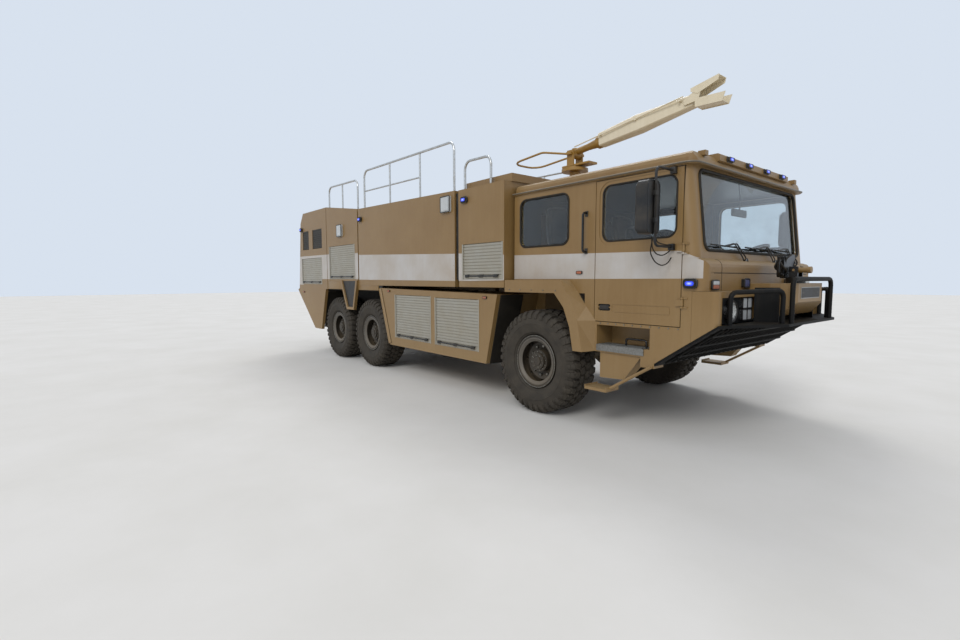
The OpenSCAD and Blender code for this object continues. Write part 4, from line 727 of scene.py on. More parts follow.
def makeTreadBlock():
    # a unit block, drawn in and chamfered at its top, that each row scales
    form = bmesh.new()
    for v in bmesh.ops.create_cube(form, size=1.0)["verts"]:
        draw = 0.9 if v.co.z > 0 else 1.08
        v.co = Vector((v.co.x * draw, v.co.y * draw, v.co.z - 0.5))
    top = [e for e in form.edges if all(v.co.z > -0.1 for v in e.verts)]
    bmesh.ops.bevel(form, geom=top, offset=0.07, segments=1, affect="EDGES")
    return linked("treadBlock", meshOf("treadBlock", form))


def makeTyres():
    block = makeTreadBlock()
    tree = makeTreadTree(tyreLook["rows"], tyreLook["blocks"])
    half = tyreLook["section"]
    section = half + [(-across, radius) for across, radius in reversed(half[:-1])]
    for n, (name, middle, s) in enumerate(wheels):
        form = bmesh.new()
        addLathe(form, section, (0, 0, 0), (0, 1, 0), tyreLook["steps"], closed=True)
        bmesh.ops.recalc_face_normals(form, faces=form.faces)
        values = {"Block": block, "Phase": tyreLook["phase"] * n, "Finish": finishes["tyreRubber"]}
        tyre = grown("tyreTread_" + name, meshOf("carcass", form), tree, values, 28.0)
        tyre.data.transform(Matrix.Translation(middle))
        settle(tyre, "wheel_" + name, "tyre", "tyre_" + name)
    bpy.data.objects.remove(block)


rimLook = {
    # rings of heads: how many, the ring's radius, how far out of the wheel's middle plane
    "nuts": (10, 0.178, 0.0435), "hubBolts": (12, 0.113, 0.113), "capBolts": (8, 0.072, 0.138),
    "nutSize": (0.018, 0.026), "boltSize": (0.0095, 0.009),  # radius and height of the heads
    # sections: outward from the wheel's middle, radius
    "lockRing": [(0.160, 0.288), (0.1765, 0.288), (0.1815, 0.283), (0.1815, 0.272), (0.173, 0.262),
                 (0.161, 0.242),
                 (0.152, 0.242), (0.160, 0.262)],
    # the flange's edge in bright worn steel: partly real wear, partly a painted highlight along the edge
    "flangeEdge": [(0.178, 0.306), (0.178, 0.317), (0.1835, 0.315), (0.1850, 0.3115), (0.1835, 0.308)],
}


def ringOfHeads(middle, s, count, ring, out):
    spots = []
    for k in range(count):
        a = 2 * math.pi * (k + 0.3) / count
        spots.append((middle + Vector((ring * math.cos(a), s * out, ring * math.sin(a))), (0, s, 0)))
    return spots


def makeRimFittings():
    for name, middle, s in wheels:
        nuts = ringOfHeads(middle, s, *rimLook["nuts"])
        bolts = ringOfHeads(middle, s, *rimLook["hubBolts"]) + ringOfHeads(middle, s, *rimLook["capBolts"])
        pieces = [headsAt("wheelNuts_" + name, nuts, "wornSteel", *rimLook["nutSize"]),
                  headsAt("hubBolts_" + name, bolts, "wornSteel", *rimLook["boltSize"])]
        # the flange's edge ring is bare worn steel, partly a painted highlight
        for part, finish in (("lockRing", "ringEnamel"), ("flangeEdge", "wornSteel")):
            form = bmesh.new()
            addLathe(form, rimLook[part], middle, (0, s, 0), 64, closed=True)
            pieces.append(meshPiece(part + "_" + name, form, finish))
        for piece in pieces:
            settle(piece, "wheel_" + name, "rim_paint")


makeTyres()
makeRimFittings()
print("tyres, nuts and rings are made")


# rubber round the glass, the drip rail and the wipers

screen = {"foot": (1.895, 1.790), "lean": math.atan(0.095 / 0.850),
          "loop": (-1.165, 1.165, 0.080, 0.825, 0.08)}
# left, right, low, high, corner
windowLoops = {"side": (-0.37, 0.40, 1.995, 2.565, 0.09), "door": (0.865, 1.690, 1.995, 2.565, 0.09)}
dripRail = {"rear": -0.488, "front": 1.866, "half": 1.353, "bend": 0.113, "up": 2.6545,
            "angles": (0, 0.26, 0.52, 0.79, 1.05, 1.31, math.pi / 2)}


def onScreen(across, up, out):
    c, n = math.cos(screen["lean"]), math.sin(screen["lean"])
    return at(screen["foot"][0] - up * n + out * c, across, screen["foot"][1] + up * c + out * n)


def makeGaskets():
    loop = [onScreen(u, v, 0.002) for u, v in roundedLoop(*screen["loop"])]
    gasket = tubesAlong("screenGasket", [loop], "sheetRubber", 0.015, 12, closed=True)
    settle(gasket, "chassis", "mirror_black")
    loops = [loopOn(sideways(s, cabHalf + 0.002), *windowLoops["side"]) for s in sides.values()]
    settle(tubesAlong("sideWindowGaskets", loops, "sheetRubber", 0.012, closed=True), "chassis",
           "mirror_black")
    for side, s in sides.items():
        loop = loopOn(sideways(s, cabHalf - 0.0055), *windowLoops["door"])
        gasket = tubesAlong("doorWindowGasket_" + side, [loop], "sheetRubber", 0.0095, closed=True)
        settle(gasket, "door_" + side, "mirror_black")


def makeDripRail():
    # along the right side and round the front corner, then the same on the left, from the middle back
    look = dripRail
    half = [at(look["rear"], -look["half"], look["up"])]
    for a in look["angles"]:
        half.append(at(look["front"] - look["bend"] * (1 - math.sin(a)),
                       -look["half"] + look["bend"] * (1 - math.cos(a)), look["up"]))
    rail = half + [Vector((p.x, -p.y, p.z)) for p in reversed(half)]
    settle(tubesAlong("dripRail", [rail], "railEnamel", 0.009, 8), "chassis", "rail_tube")


def makeWipers():
    form = bmesh.new()
    arms, blades = [], []
    spindle = [(0, 0.0), (0, 0.022), (0.018, 0.018), (0.030, 0.012), (0.034, 0.0)]
    for y in wipers["spindles"]:
        foot = at(1.925, y, 1.778)
        addLathe(form, spindle, foot, (0.15, 0, 1), 16)
        joint = onScreen(y - wipers["reach"] * 0.55, wipers["up"] + 0.03, 0.045)
        tip = onScreen(y - wipers["reach"], wipers["up"], 0.032)
        for shift, start, rise in ((0.0, 0.024, 0.045), (-0.05, 0.0, 0.03)):  # twin arms
            beside = Vector((0, shift, 0))
            arms.append(bentPath([foot + Vector((0, shift, start)),
                                  foot + Vector((0.004, shift - 0.03, rise)),
                                  joint + beside, tip + beside], 0.03))
        for e in (-0.6, 0.0, 0.6):  # clips that hold the blade, spread over its length
            spot = onScreen(y - wipers["reach"] + e * wipers["blade"] / 2, wipers["up"], 0.026)
            addBox(form, spot - Vector((0.007, 0.03, 0.005)), spot + Vector((0.007, 0.03, 0.005)), 0.002)
        blades.append([onScreen(y - wipers["reach"] + e * wipers["blade"] / 2, wipers["up"] - e * 0.006,
                                0.017)
                       for e in (-1, 1)])
    settle(meshPiece("wiperSpindles", form, "blackEnamel"), "chassis", "black_steel")
    settle(tubesAlong("wiperArms", arms, "blackEnamel", 0.0065, 8), "chassis", "black_steel")
    settle(tubesAlong("wiperBlades", blades, "sheetRubber", 0.0075, 8), "chassis", "mirror_black")


makeGaskets()
makeDripRail()
makeWipers()
print("gaskets, drip rail and wipers are made")


# mirrors: glass, rim, clamps and cables; all ride on the doors

mirrorLook = {
    "glass": (1.574, 1.706, 2.045, 2.435, 0.026), "glassAt": 1.5135,
    "rim": (1.557, 1.743, 2.012, 2.468, 0.04),
    "rimAt": 1.6535,
    # clamps on the mirror's post and on the door: rear, front, out, heights, half width, half height, bevel
    "clamps": [(1.643, 1.686, 1.64, (2.12, 2.36), 0.024, 0.022, 0.006),
               (1.638, 1.692, 1.35, (1.898, 2.595), 0.022, 0.03, 0.008)],
    # from the mirror's foot to the door: station, out, height
    "cables": [[(1.665, 1.64, 2.02), (1.60, 1.58, 1.93), (1.555, 1.53, 1.84), (1.585, 1.49, 1.755),
                (1.635, 1.46, 1.722), (1.66, 1.40, 1.745), (1.655, 1.335, 1.80)],
               [(1.66, 1.63, 2.10), (1.61, 1.60, 1.98), (1.59, 1.55, 1.88), (1.60, 1.50, 1.83),
                (1.635, 1.45, 1.815), (1.66, 1.39, 1.85), (1.665, 1.345, 1.89)],
               [(1.675, 1.652, 2.44), (1.680, 1.655, 2.25), (1.677, 1.652, 2.02), (1.672, 1.62, 1.93),
                (1.67, 1.50, 1.915), (1.668, 1.36, 1.912)]],
}


def makeMirrorParts():
    for side, s in sides.items():
        door = "door_" + side
        form = bmesh.new()
        addSheet(form, roundedLoop(*mirrorLook["glass"]), -0.004, forwards(s, mirrorLook["glassAt"]))
        settle(meshPiece("mirrorGlass_" + side, form, "mirrorGlass"), door, "glass")
        form = bmesh.new()
        for rear, front, out, heights, half, tall, bevel in mirrorLook["clamps"]:
            for z in heights:
                addBox(form, at(rear, s * out - half, z - tall), at(front, s * out + half, z + tall), bevel)
        settle(meshPiece("mirrorClamps_" + side, form, "mouldedBlack"), door, "mirror_black")
        cables = [bentPath([at(x, s * y, z) for x, y, z in points], 0.05) for points in mirrorLook["cables"]]
        settle(tubesAlong("mirrorCables_" + side, cables, "sheetRubber", 0.0055, 8), door, "mirror_black")
        rim = loopOn(forwards(s, mirrorLook["rimAt"]), *mirrorLook["rim"])
        settle(tubesAlong("mirrorRim_" + side, [rim], "blackEnamel", 0.0055, 8, closed=True), door,
               "black_steel")


# lamps: frames, and lenses as low domes whose core is lit

tail = {"foot": (-7.80, 1.40), "lean": math.atan(0.18 / 1.5)}  # the engine bay's rear wall leans forward


def onTail(side, plane):
    turn = Matrix.Rotation(tail["lean"], 3, "Y")
    x, z = tail["foot"]
    return lambda u, v, d=0.0: at(x, side * u, z) + turn @ Vector((-plane - d, 0, v))


sideFrame, sceneFrame = (0.063, 0.039, 0.024, 0.026), (0.11, 0.11, 0.018, 0.0)
# each kind: its plane, its middles (station or place across, height, wall), its frame (half width,
# half height, corner, how far out of the wall) and its lenses (finish, how far up, then like the frame,
# and the dome's rise)
lampKinds = [
    (sideways, [(-7.55, 2.750, bodyHalf), (-4.5, 2.713, bodyHalf), (-1.318, 2.681, bodyHalf)], sideFrame,
     [("blueLens", 0.0, 0.042, 0.021, 0.016, 0.0421, 0.004)]),
    (sideways, [(1.856, 1.560, cabHalf)], sideFrame, [("blueLens", 0.0, 0.042, 0.021, 0.020, 0.0421, 0.004)]),
    (sideways, [(-1.75, 2.67, 1.499)], sceneFrame, []),
    (sideways, [(-5.41, 2.575, 1.499)], (0.11, 0.115, 0.018, 0.0), []),
    (sideways, [(-3.466, 1.403, bodyHalf), (-0.895, 1.361, bodyHalf), (0.567, 1.674, cabHalf),
                (-7.5, 1.320, bodyHalf)],
     None, [("amberLens", 0.0, 0.034, 0.013, 0.010, 0.0141, 0.004)]),
    (forwards, [(-0.715, 1.260, 2.075), (-0.715, 1.372, 2.075), (-0.613, 1.260, 2.075),
                (-0.613, 1.372, 2.075)],
     (0.047, 0.051, 0.014, 0.0), [("clearLens", 0.0, 0.041, 0.045, 0.010, 0.0005, 0.003)]),
    (forwards, [(-0.546, 1.560, 2.018)], (0.056, 0.042, 0.014, 0.0),
     [("darkBlueLens", 0.0, 0.046, 0.032, 0.012, 0.0011, 0.003)]),
    (forwards, [(-1.1625, 1.547, 2.0)], (0.064, 0.0405, 0.014, 0.0),
     [("clearLens", 0.018, 0.0565, 0.016, 0.010, 0.0071, 0.004),
      ("amberLens", -0.018, 0.0565, 0.016, 0.010, 0.0071, 0.004)]),
    (forwards, [(-0.65, 2.758, 1.850), (-0.22, 2.758, 1.850)], (0.061, 0.021, 0.011, 0.0),
     [("blueLens", 0.0, 0.034, 0.014, 0.008, 0.0251, 0.003)]),
    (onTail, [(-1.335, 0.230, 0.0241)], None,
     [("clearLens", -0.12, 0.056, 0.041, 0.012, 0.0, 0.004),
      ("redLens", 0.0, 0.056, 0.041, 0.012, 0.0, 0.004),
      ("amberLens", 0.12, 0.056, 0.041, 0.012, 0.0, 0.004)]),
]
headlamp = {"out": 0.985, "up": 1.302, "radius": 0.099, "front": 2.078}
lensSlots = {"blueLens": "lamp_blue", "darkBlueLens": "lamp_blue", "redLens": "lamp_amber",
             "amberLens": "lamp_amber", "clearLens": "lamp_clear"}


def addDome(form, core, loop, rise, toPlace):
    # nested loops from the rim to the middle; core stores how near each point is to the middle
    across, up = [u for u, v in loop], [v for u, v in loop]
    middle = ((min(across) + max(across)) / 2, (min(up) + max(up)) / 2)
    rings = []
    for t in (0.0, 0.02, 0.12, 0.3, 0.5, 0.7, 0.85):
        depth = rise * math.sin(min(1.0, t * 1.3) * math.pi / 2) if t > 0.02 else rise * t * 20
        ring = []
        for u, v in loop:
            ring.append(form.verts.new(toPlace(u + (middle[0] - u) * t, v + (middle[1] - v) * t, depth)))
            ring[-1][core] = t
        rings.append(ring)
    for a, b in zip(rings, rings[1:]):
        for k in range(len(a)):
            n = (k + 1) % len(a)
            form.faces.new((a[k], a[n], b[n], b[k]))
    tip = form.verts.new(toPlace(middle[0], middle[1], rise))
    tip[core] = 1.0
    for k in range(len(rings[-1])):
        form.faces.new((rings[-1][k], rings[-1][(k + 1) % len(rings[-1])], tip))


def makeLamps():
    frames = []
    forms = {finish: bmesh.new() for finish in lensSlots}
    cores = {finish: form.verts.layers.float.new("core") for finish, form in forms.items()}
    for plane, middles, frameShape, lenses in lampKinds:
        for u, v, wall in middles:
            for s in sides.values():
                if frameShape:
                    half, tall, corner, out = frameShape
                    frames.append(loopOn(plane(s, wall + out), u - half, u + half, v - tall, v + tall,
                                         corner))
                for finish, up, half, tall, corner, out, rise in lenses:
                    loop = roundedLoop(u - half, u + half, v + up - tall, v + up + tall, corner, 4)
                    addDome(forms[finish], cores[finish], loop, rise, plane(s, wall + out))
    for s in sides.values():
        middle = at(headlamp["front"], -s * headlamp["out"], headlamp["up"])
        frames.append([middle + headlamp["radius"] * Vector((0, math.cos(k * math.pi / 16),
                                                             math.sin(k * math.pi / 16)))
                       for k in range(32)])
    settle(tubesAlong("lampFrames", frames, "mouldedBlack", 0.007, 8, closed=True), "chassis", "mirror_black")
    for finish, slotName in lensSlots.items():
        settle(meshPiece(finish + "es", forms[finish], finish), "chassis", slotName)


# the blank number plate

plateLook = {"half": 0.26, "low": 1.410, "high": 1.522, "rim": 0.008, "face": 2.3965, "screws": 0.2}


def makePlate():
    look = plateLook
    inner = look["half"] - look["rim"]
    for name, finish, slotName, loop, thickness, plane in (
            ("numberPlateRim", "plateGrey", "rail_tube",
             (-look["half"], look["half"], look["low"], look["high"], 0.012, 4), 0.003, look["face"]),
            ("numberPlateFace", "mouldedBlack", "mirror_black",
             (-inner, inner, look["low"] + look["rim"], look["high"] - look["rim"], 0.008, 4), 0.0015,
             look["face"] + 0.003)):
        form = bmesh.new()
        addSheet(form, roundedLoop(*loop), thickness, forwards(1, plane))
        settle(meshPiece(name, form, finish), "chassis", slotName)
    up = (look["low"] + look["high"]) / 2
    spots = [(at(look["face"] + 0.004, s * look["screws"], up), (1, 0, 0)) for s in sides.values()]
    settle(headsAt("numberPlateScrews", spots, "wornSteel", 0.006, 0.003, 12, 0.7), "chassis", "rail_tube")


makeMirrorParts()
makeLamps()
makePlate()
print("mirror parts, lamps and the blank plate are made")


# bolts and rivets along the seams

seamLook = {
    "sink": 0.0005,  # how far the heads sit in their wall
    # rows along the truck: first station, step, how many, height
    "cab": (0.86, 0.098, 10, 1.1335), "fender": (-0.42, 0.19, 5, 1.474),
    "tank": (-4.55, 0.0895, 34, 1.525), "rear": (-5.98, 0.093, 15, 1.592),
    # columns at the tank body's ends: the rear one, the step to the front one, lowest, step, how many
    "columns": (-4.57, 2.98, 1.62, 0.18, 7),
}


def rowOfHeads(s, half, first, step, count, up):
    return [(at(first + step * k, s * (half - seamLook["sink"]), up), (0, s, 0)) for k in range(count)]


def makeSeamHeads():
    bolts, rivets = [], []
    rear, apart, low, step, count = seamLook["columns"]
    for s in sides.values():
        bolts += rowOfHeads(s, cabHalf, *seamLook["cab"]) + rowOfHeads(s, bodyHalf, *seamLook["fender"])
        rivets += rowOfHeads(s, bodyHalf, *seamLook["tank"])
        for k in range(count):
            rivets += rowOfHeads(s, bodyHalf, rear, apart, 2, low + step * k)
        rivets += rowOfHeads(s, bodyHalf, *seamLook["rear"])
    settle(headsAt("seamBolts", bolts, "wornSteel", 0.0085, 0.006), "chassis", "rail_tube")
    settle(headsAt("seamRivets", rivets, "sandEnamel", 0.0055, 0.0025, 10, 0.6), "chassis", "sand_paint")


makeSeamHeads()
print("bolts and rivets are made")


# trim on the bodies

trimLook = {
    # strips under the bodies' edges: rear, front, low, high
    "valances": [(-6.12, -5.39, 1.405, 1.580), (-4.66, -3.86, 1.405, 1.580), (-1.466, -0.53, 1.495, 1.582)],
    # the bracket between the rear wheels: the outline of its raised frame, and the dark sheet inside it,
    # which is painted shade in its hollow
    "bracket": [(-5.395, 1.583), (-5.125, 1.018), (-4.815, 1.018), (-4.645, 1.583), (-4.705, 1.583),
                (-4.850, 1.068), (-5.090, 1.068), (-5.335, 1.583)],
    "bracketShadeSheet": [(-5.345, 1.575), (-5.095, 1.065), (-4.845, 1.065), (-4.695, 1.575)],
    # dark blocks in the gaps between the bodies, which are painted shade: rear, front, top
    "gapShadeBlocks": [(-1.556, -1.474, 2.80), (-4.637, -4.603, 2.78)],
    "midRail": [(-4.44, 3.225), (-2.545, 3.185)],  # its ends: station, height
}
# liners of the rear wheel arches: an inner wall, a top, and a rear wall that slants back towards the ground
archLook = {"rear": -6.28, "front": -3.86, "low": 1.00, "high": 1.398, "inner": 0.975, "outer": 1.40,
            "slant": [(-6.290, 1.398), (-6.278, 1.398), (-6.478, 0.560), (-6.490, 0.560)]}
# posts along the slanted rear edges of the side lockers; a groove runs ahead of each,
# and a cap stands behind it
postLook = {"top": (-3.7845, 1.437), "foot": (-3.4545, 0.506), "out": 1.452, "radius": 0.036,
            "groove": (0.0575, 1.4665, 0.004), "capAt": (-3.80, 1.415),
            "cap": [(1.43, 0.0), (1.43, 0.045), (1.505, 0.045), (1.525, 0.030), (1.525, 0.0)]}
# roller shutters: rear and front edge, height of the lower edge
shutters = [(-7.60, -6.40, 1.50), (-5.99, -4.77, 1.61), (-1.39, -0.545, 1.60), (-3.275, -2.18, 0.62),
            (-2.077, -1.02, 0.62)]
shutterLook = {"inset": 0.10, "rise": 0.045, "out": 1.473, "tall": 0.02, "wide": 0.08, "deep": (1.458, 1.486),
               "bar": 0.0125, "seal": 0.006}


def addArchLiners(form, s):
    look = archLook
    addBox(form, at(look["rear"], s * look["inner"], look["low"]), at(look["front"], s * 0.985, look["high"]))
    addBox(form, at(look["rear"], s * look["inner"], 1.386),
           at(look["front"], s * look["outer"], look["high"]))
    addSheet(form, look["slant"], look["outer"] - look["inner"], sideways(s, look["inner"]))


def makeBodyTrim():
    # painted and dark pieces of sheet, each kind joined to one mesh; the dark ones include painted shade in
    # the gaps and in the bracket
    painted, dark, liners = bmesh.new(), bmesh.new(), bmesh.new()
    posts, grooves, rails = [], [], []
    ahead, out, grooveRadius = postLook["groove"]
    for s in sides.values():
        for rear, front, low, high in trimLook["valances"]:
            addBox(painted, at(rear, s * 1.440, low), at(front, s * 1.460, high), 0.004)
        addSheet(painted, trimLook["bracket"], 0.030, sideways(s, bodyHalf))
        # painted shade: a dark sheet in the bracket's hollow
        addSheet(dark, trimLook["bracketShadeSheet"], 0.003, sideways(s, bodyHalf + 0.0005))
        addArchLiners(liners, s)
        ends = (postLook["top"], postLook["foot"])
        posts.append([at(x, s * postLook["out"], z) for x, z in ends])
        grooves.append([at(x + ahead, s * out, z) for x, z in ends])
        addLathe(dark, postLook["cap"], at(postLook["capAt"][0], s * postLook["capAt"][1], 0), (0, 0, 1), 20)
        # painted shade: dark blocks fill the gaps between the bodies
        for rear, front, top in trimLook["gapShadeBlocks"]:
            addBox(dark, at(rear, s * 1.36, 1.60), at(front, s * 1.440, top))
        for rear, front, low in shutters:
            up = low + shutterLook["rise"]
            for x in (rear + 0.085, front - 0.165, (rear + front) / 2 - 0.04):  # the handle's brackets
                near, far = (s * y for y in shutterLook["deep"])
                addBox(dark, at(x, near, up - shutterLook["tall"]),
                       at(x + shutterLook["wide"], far, up + shutterLook["tall"]), 0.006)
        rails.append([at(x, s * 1.4, z) for x, z in trimLook["midRail"]])
    settle(meshPiece("valances", painted, "sandEnamel"), "chassis", "sand_paint")
    # the dark mesh holds the caps, the handles' brackets and painted shade
    settle(meshPiece("shutterHandleCaps", dark, "mouldedBlack"), "chassis", "mirror_black")
    settle(meshPiece("archLiners", liners, "sheetRubber"), "chassis", "mudguard_rubber")
    settle(tubesAlong("lockerPosts", posts, "sandEnamel", postLook["radius"], 16), "chassis", "sand_paint")
    grooves = tubesAlong("lockerPostGrooves", grooves, "sheetRubber", grooveRadius, 8)
    settle(grooves, "chassis", "mudguard_rubber")
    settle(tubesAlong("midRails", rails, "brightTube", 0.0125, 12), "chassis", "rail_tube")


def makeShutterHandles():
    bars, seals = [], []
    for s in sides.values():
        for rear, front, low in shutters:
            ends = (rear + shutterLook["inset"], front - shutterLook["inset"])
            bars.append([at(x, s * shutterLook["out"], low + shutterLook["rise"]) for x in ends])
            seals.append([at(x, s * 1.4555, low + 0.006) for x in (rear + 0.03, front - 0.03)])
    settle(tubesAlong("shutterHandles", bars, "blackEnamel", shutterLook["bar"]), "chassis", "black_steel")
    settle(tubesAlong("shutterSeals", seals, "sheetRubber", shutterLook["seal"], 8), "chassis",
           "mudguard_rubber")


# bars under the bull bar's belly plate, which slopes up to the front from its foot
bellyLook = {"foot": (1.505, 0.774), "slope": 0.6825, "bars": 23, "pitch": 0.11, "ends": (1.56, 2.10),
             "crossBars": (1.70, 1.86, 2.02), "half": 1.25, "radius": 0.013}


def underBelly(x, y, drop):
    return at(x, y, bellyLook["foot"][1] + (x - bellyLook["foot"][0]) * bellyLook["slope"] - drop)


def makeBellyBars():
    bars = []
    for k in range(bellyLook["bars"]):
        y = bellyLook["pitch"] * (k - bellyLook["bars"] // 2)
        bars.append([underBelly(x, y, 0.034) for x in bellyLook["ends"]])
    for x in bellyLook["crossBars"]:
        bars.append([underBelly(x, s * bellyLook["half"], 0.046) for s in sides.values()])
    settle(tubesAlong("bellyBars", bars, "bellyEnamel", bellyLook["radius"], 8), "chassis", "black_steel")


makeBodyTrim()
makeShutterHandles()
makeBellyBars()
print("body trim, shutter handles and belly bars are made")


# small parts of the cab: handles, seams and seals, inside mirror, hoses

doorLook = {"cup": (0.8265, 0.9785, 1.2695, 1.3385, 0.018, 5), "seal": (0.7765, 1.7585, 1.1515, 2.6285)}


def makeDoorParts():
    seals = []
    rear, front, low, high = doorLook["seal"]
    for side, s in sides.items():
        form = bmesh.new()
        addSheet(form, roundedLoop(*doorLook["cup"]), 0.002, sideways(s, cabHalf - 0.0245))
        addBox(form, at(0.842, s * 1.318, 1.282), at(0.962, s * 1.3275, 1.326), 0.004)
        settle(meshPiece("doorHandle_" + side, form, "mouldedBlack"), "door_" + side, "mirror_black")
        onDoor = sideways(s, cabHalf - 0.0085)
        seals.append([onDoor(rear, low), onDoor(front, low), onDoor(front, high), onDoor(rear, high)])
    settle(tubesAlong("doorSeals", seals, "sheetRubber", 0.0028, 8, closed=True), "chassis", "mirror_black")


def makeHandles():
    # pads of the grab handles behind the doors, and hoops over the cab steps
    for side, s in sides.items():
        form = bmesh.new()
        for z in (1.905, 2.305):
            addBox(form, at(0.635, s * cabHalf, z - 0.03), at(0.675, s * (cabHalf + 0.008), z + 0.03), 0.003)
        settle(meshPiece("grabHandlePads_" + side, form, "mouldedBlack"), "chassis", "mirror_black")
        hoop = [(1.10, 0.900), (1.10, 0.978), (1.34, 0.978), (1.34, 0.900)]
        handle = bentPath([at(x, s * 1.20, z) for x, z in hoop], 0.03)
        settle(tubesAlong("stepHandle_" + side, [handle], "blackEnamel", 0.011), "chassis", "black_steel")


def makeInsideMirror():
    form = bmesh.new()
    addBox(form, at(1.655, -0.16, 2.275), at(1.690, 0.16, 2.355), 0.012)
    settle(meshPiece("insideMirror", form, "mouldedBlack"), "chassis", "mirror_black")
    stem = bentPath([at(1.675, 0, 2.34), at(1.68, 0, 2.46), at(1.66, 0, 2.63)], 0.03)
    settle(tubesAlong("insideMirrorStem", [stem], "mouldedBlack", 0.008, 8), "chassis", "mirror_black")


frontSeam = {"plane": 1.9845, "half": 1.17, "up": 1.655, "uprights": 1.02, "low": 1.492, "bend": 0.0695,
             "bendUp": 1.712, "angles": (0, 0.39, 0.78, 1.17, 1.5)}


def makeFrontSeams():
    # the front flap's upper seam, and two uprights that follow the bend over to the windscreen
    look = frontSeam
    paths = [[at(look["plane"], s * look["half"], look["up"]) for s in sides.values()]]
    for s in sides.values():
        path = [at(look["plane"], s * look["uprights"], look["low"])]
        for a in look["angles"]:
            path.append(at(look["plane"] - look["bend"] * (1 - math.cos(a)), s * look["uprights"],
                           look["bendUp"] + look["bend"] * math.sin(a)))
        paths.append(path)
    settle(tubesAlong("frontSeams", paths, "sheetRubber", 0.003, 8), "chassis", "mirror_black")


hoseLook = {"seed": 5, "loops": 7, "steps": 28, "middle": (2.155, 0.0, 1.745), "spread": (0.045, 0.13, 0.085),
            "radius": 0.009}


def makeMonitorHoses():
    # hoses and wires that loop round the bumper monitor and turn with it
    look = hoseLook
    chance = random.Random(look["seed"])
    loops = []
    for k in range(look["loops"]):
        tilt = Matrix.Rotation(chance.uniform(-0.6, 0.6), 3, "X")
        tilt = tilt @ Matrix.Rotation(chance.uniform(-0.5, 0.5), 3, "Z")
        deep, wide, tall = (w * chance.uniform(0.75, 1.1) for w in look["spread"])
        off = Vector((chance.uniform(-0.01, 0.01), chance.uniform(-0.05, 0.05), chance.uniform(-0.01, 0.03)))
        path = []
        for i in range(look["steps"]):
            a = 2 * math.pi * i / look["steps"]
            wave = Vector((deep * math.sin(2 * a + k) * 0.6, wide * math.cos(a), tall * math.sin(a)))
            path.append(at(*look["middle"]) + off + tilt @ wave)
        loops.append(path)
    hoses = tubesAlong("monitorHoses", loops, "sheetRubber", look["radius"], 8, closed=True)
    settle(hoses, "bumper_turret", "black_steel")


makeMonitorHoses()
makeDoorParts()
makeFrontSeams()
makeHandles()
makeInsideMirror()
print("cab parts and hoses are made")


# seats: stuffed covers with sewn channels over the cushions and backs

seatLook = {
    "rows": [(1.08, 1.16, (-0.62, 0.62, 0.0)), (-0.06, 1.49, (-0.70, 0.0, 0.70))],  # station, height, across
    "cushion": (0.49, 0.48, 0.135), "cushionSeams": (-0.45, 0.0, 0.45),
    "back": (0.62, 0.46, 0.12), "backSeams": (-0.55, -0.15, 0.25, 0.6), "lean": -7.5,
    "round": 0.42, "seamWidth": 0.045, "seamDepth": 0.16, "cuts": 13,
}


def drawnIn(a, b, c):
    # how far the first of three places on a cube shrinks when the cube is drawn towards a ball
    soft = seatLook["round"]
    return a * math.sqrt(1 - soft * (b * b + c * c) / 2 + soft * soft * b * b * c * c / 3)


def addPad(form, size, seams, toPlace):
    # a cube of small faces drawn in to a pillow, with shallow grooves where it is sewn
    pad = bmesh.new()
    bmesh.ops.create_cube(pad, size=2.0)
    bmesh.ops.subdivide_edges(pad, edges=list(pad.edges), cuts=seatLook["cuts"], use_grid_fill=True)
    for v in pad.verts:
        x, y, z = v.co
        sag = sum(math.exp(-((x - seam) / seatLook["seamWidth"]) ** 2) for seam in seams) * max(0.0, z)
        v.co = toPlace(drawnIn(x, y, z) * size[0] / 2, drawnIn(y, x, z) * size[1] / 2,
                       (drawnIn(z, x, y) - seatLook["seamDepth"] * sag) * size[2] / 2)
    mesh = meshOf("pad", pad)
    form.from_mesh(mesh)
    bpy.data.meshes.remove(mesh)


def makeSeats():
    look = seatLook
    form, stands = bmesh.new(), bmesh.new()
    lean = Matrix.Rotation(math.radians(look["lean"]), 3, "Y")
    for x, z, places in look["rows"]:
        for y in places:
            addPad(form, look["cushion"], look["cushionSeams"],
                   lambda a, b, c: at(x - 0.005 + a, y + b, z + 0.365 + c))
            addPad(form, look["back"], look["backSeams"],
                   lambda a, b, c: at(x - 0.215, y + b, z + 0.74) + lean @ Vector((c, 0, a)))
            addBox(stands, at(x - 0.18, y - 0.15, z), at(x + 0.18, y + 0.15, z + 0.302), 0.012)
            for rail in (y - 0.215, y + 0.215):
                addBox(stands, at(x - 0.24, rail - 0.012, z + 0.285), at(x + 0.22, rail + 0.012, z + 0.31),
                       0.004)
    pads = meshPiece("seatPads", form, "seatWeave", 60.0)
    settle(pads, "chassis", "seat_fabric", "seats")
    settle(meshPiece("seatFrames", stands, "mouldedBlack"), "chassis", "dash_plastic", "seats")


makeSeats()
print("seats are made")


# floor, light and camera

studio = {"floorHalf": 60.0, "skyLevel": 0.72, "skySeen": 0.95,
          # sun lamps: strength, angle, the way they shine
          "lamps": [("keySoft", 1.25, 25.0, (-0.35, 0.75, -0.62)),
                    ("rimSoft", 0.8, 20.0, (0.5, -0.45, -0.75))]}
photoView = {"place": (4.12, -5.67, 1.6), "right": (0.6348, 0.7727, -0.0015), "up": (-0.0622, 0.0530, 0.9967),
             "lens": 18.5625, "sensor": 36.0, "reach": 500.0}


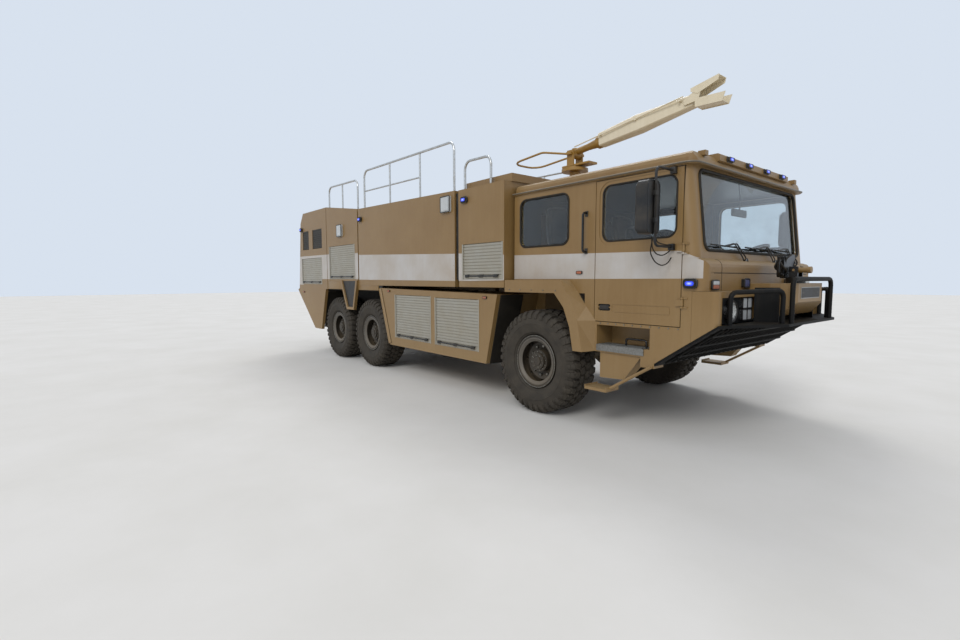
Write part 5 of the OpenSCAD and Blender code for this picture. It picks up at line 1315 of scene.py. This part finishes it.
def makeFloor():
    # towelled concrete: even, faintly clouded
    form = bmesh.new()
    bmesh.ops.create_grid(form, x_segments=2, y_segments=2, size=studio["floorHalf"])
    floor = linked("paleFloor", meshOf("paleFloor", form))
    floor.location = (0, 0, -0.001)
    material, tree, place = newMaterial("paleSmoothConcrete")
    cloud = addNode(tree, "ShaderNodeTexNoise",
                    {"Vector": place, "Scale": 0.8, "Detail": 5.0, "Roughness": 0.6})
    worn = addNode(tree, "ShaderNodeMapRange", {"Value": cloud, "From Min": 0.35, "From Max": 0.7})
    colour = addNode(tree, "ShaderNodeMix", {"data_type": "RGBA", 0: worn, 6: hexColour("#d8d6d1"),
                                             7: hexColour("#d2d0ca")})
    rough = addNode(tree, "ShaderNodeMapRange", {"Value": cloud, "From Min": 0.3, "From Max": 0.7,
                                                 "To Min": 0.75, "To Max": 0.85})
    floor.data.materials.append(finishMaterial(material, tree, {"Base Color": colour, "Roughness": rough}))


def makeLight():
    # a soft sky that the camera sees paler, and two wide suns
    world = bpy.data.worlds.new("softStudio")
    bpy.context.scene.world = world
    world.use_nodes = True
    tree = world.node_tree
    tree.nodes.clear()
    rays = addNode(tree, "ShaderNodeLightPath").outputs
    seen = rays["Is Camera Ray"]
    for kind in ("Is Glossy Ray", "Is Transmission Ray"):
        seen = addNode(tree, "ShaderNodeMath", {"operation": "MAXIMUM", 0: seen, 1: rays[kind]})
    soft = addNode(tree, "ShaderNodeBackground",
                   {"Color": hexColour("#f4f7ff"), "Strength": studio["skyLevel"]})
    pale = addNode(tree, "ShaderNodeBackground",
                   {"Color": hexColour("#dde7f4"), "Strength": studio["skySeen"]})
    both = addNode(tree, "ShaderNodeMixShader", {0: seen, 1: soft, 2: pale})
    addNode(tree, "ShaderNodeOutputWorld", {"Surface": both})
    for name, strength, angle, aim in studio["lamps"]:
        light = bpy.data.lights.new(name, "SUN")
        light.energy = strength
        light.angle = math.radians(angle)
        linked(name, light).rotation_euler = Vector(aim).to_track_quat("-Z", "Y").to_euler()


def makeCamera():
    camera = bpy.data.cameras.new("photoView")
    camera.lens = photoView["lens"]
    camera.sensor_width = photoView["sensor"]
    camera.clip_end = photoView["reach"]
    holder = linked("photoView", camera)
    right, up = Vector(photoView["right"]), Vector(photoView["up"])
    turn = Matrix((right, up, right.cross(up))).transposed().to_4x4()
    holder.matrix_world = Matrix.Translation(at(*photoView["place"])) @ turn
    bpy.context.scene.camera = holder


makeFloor()
makeLight()
makeCamera()
print("floor, light and camera are set")

bpy.context.scene.view_settings.view_transform = "Standard"
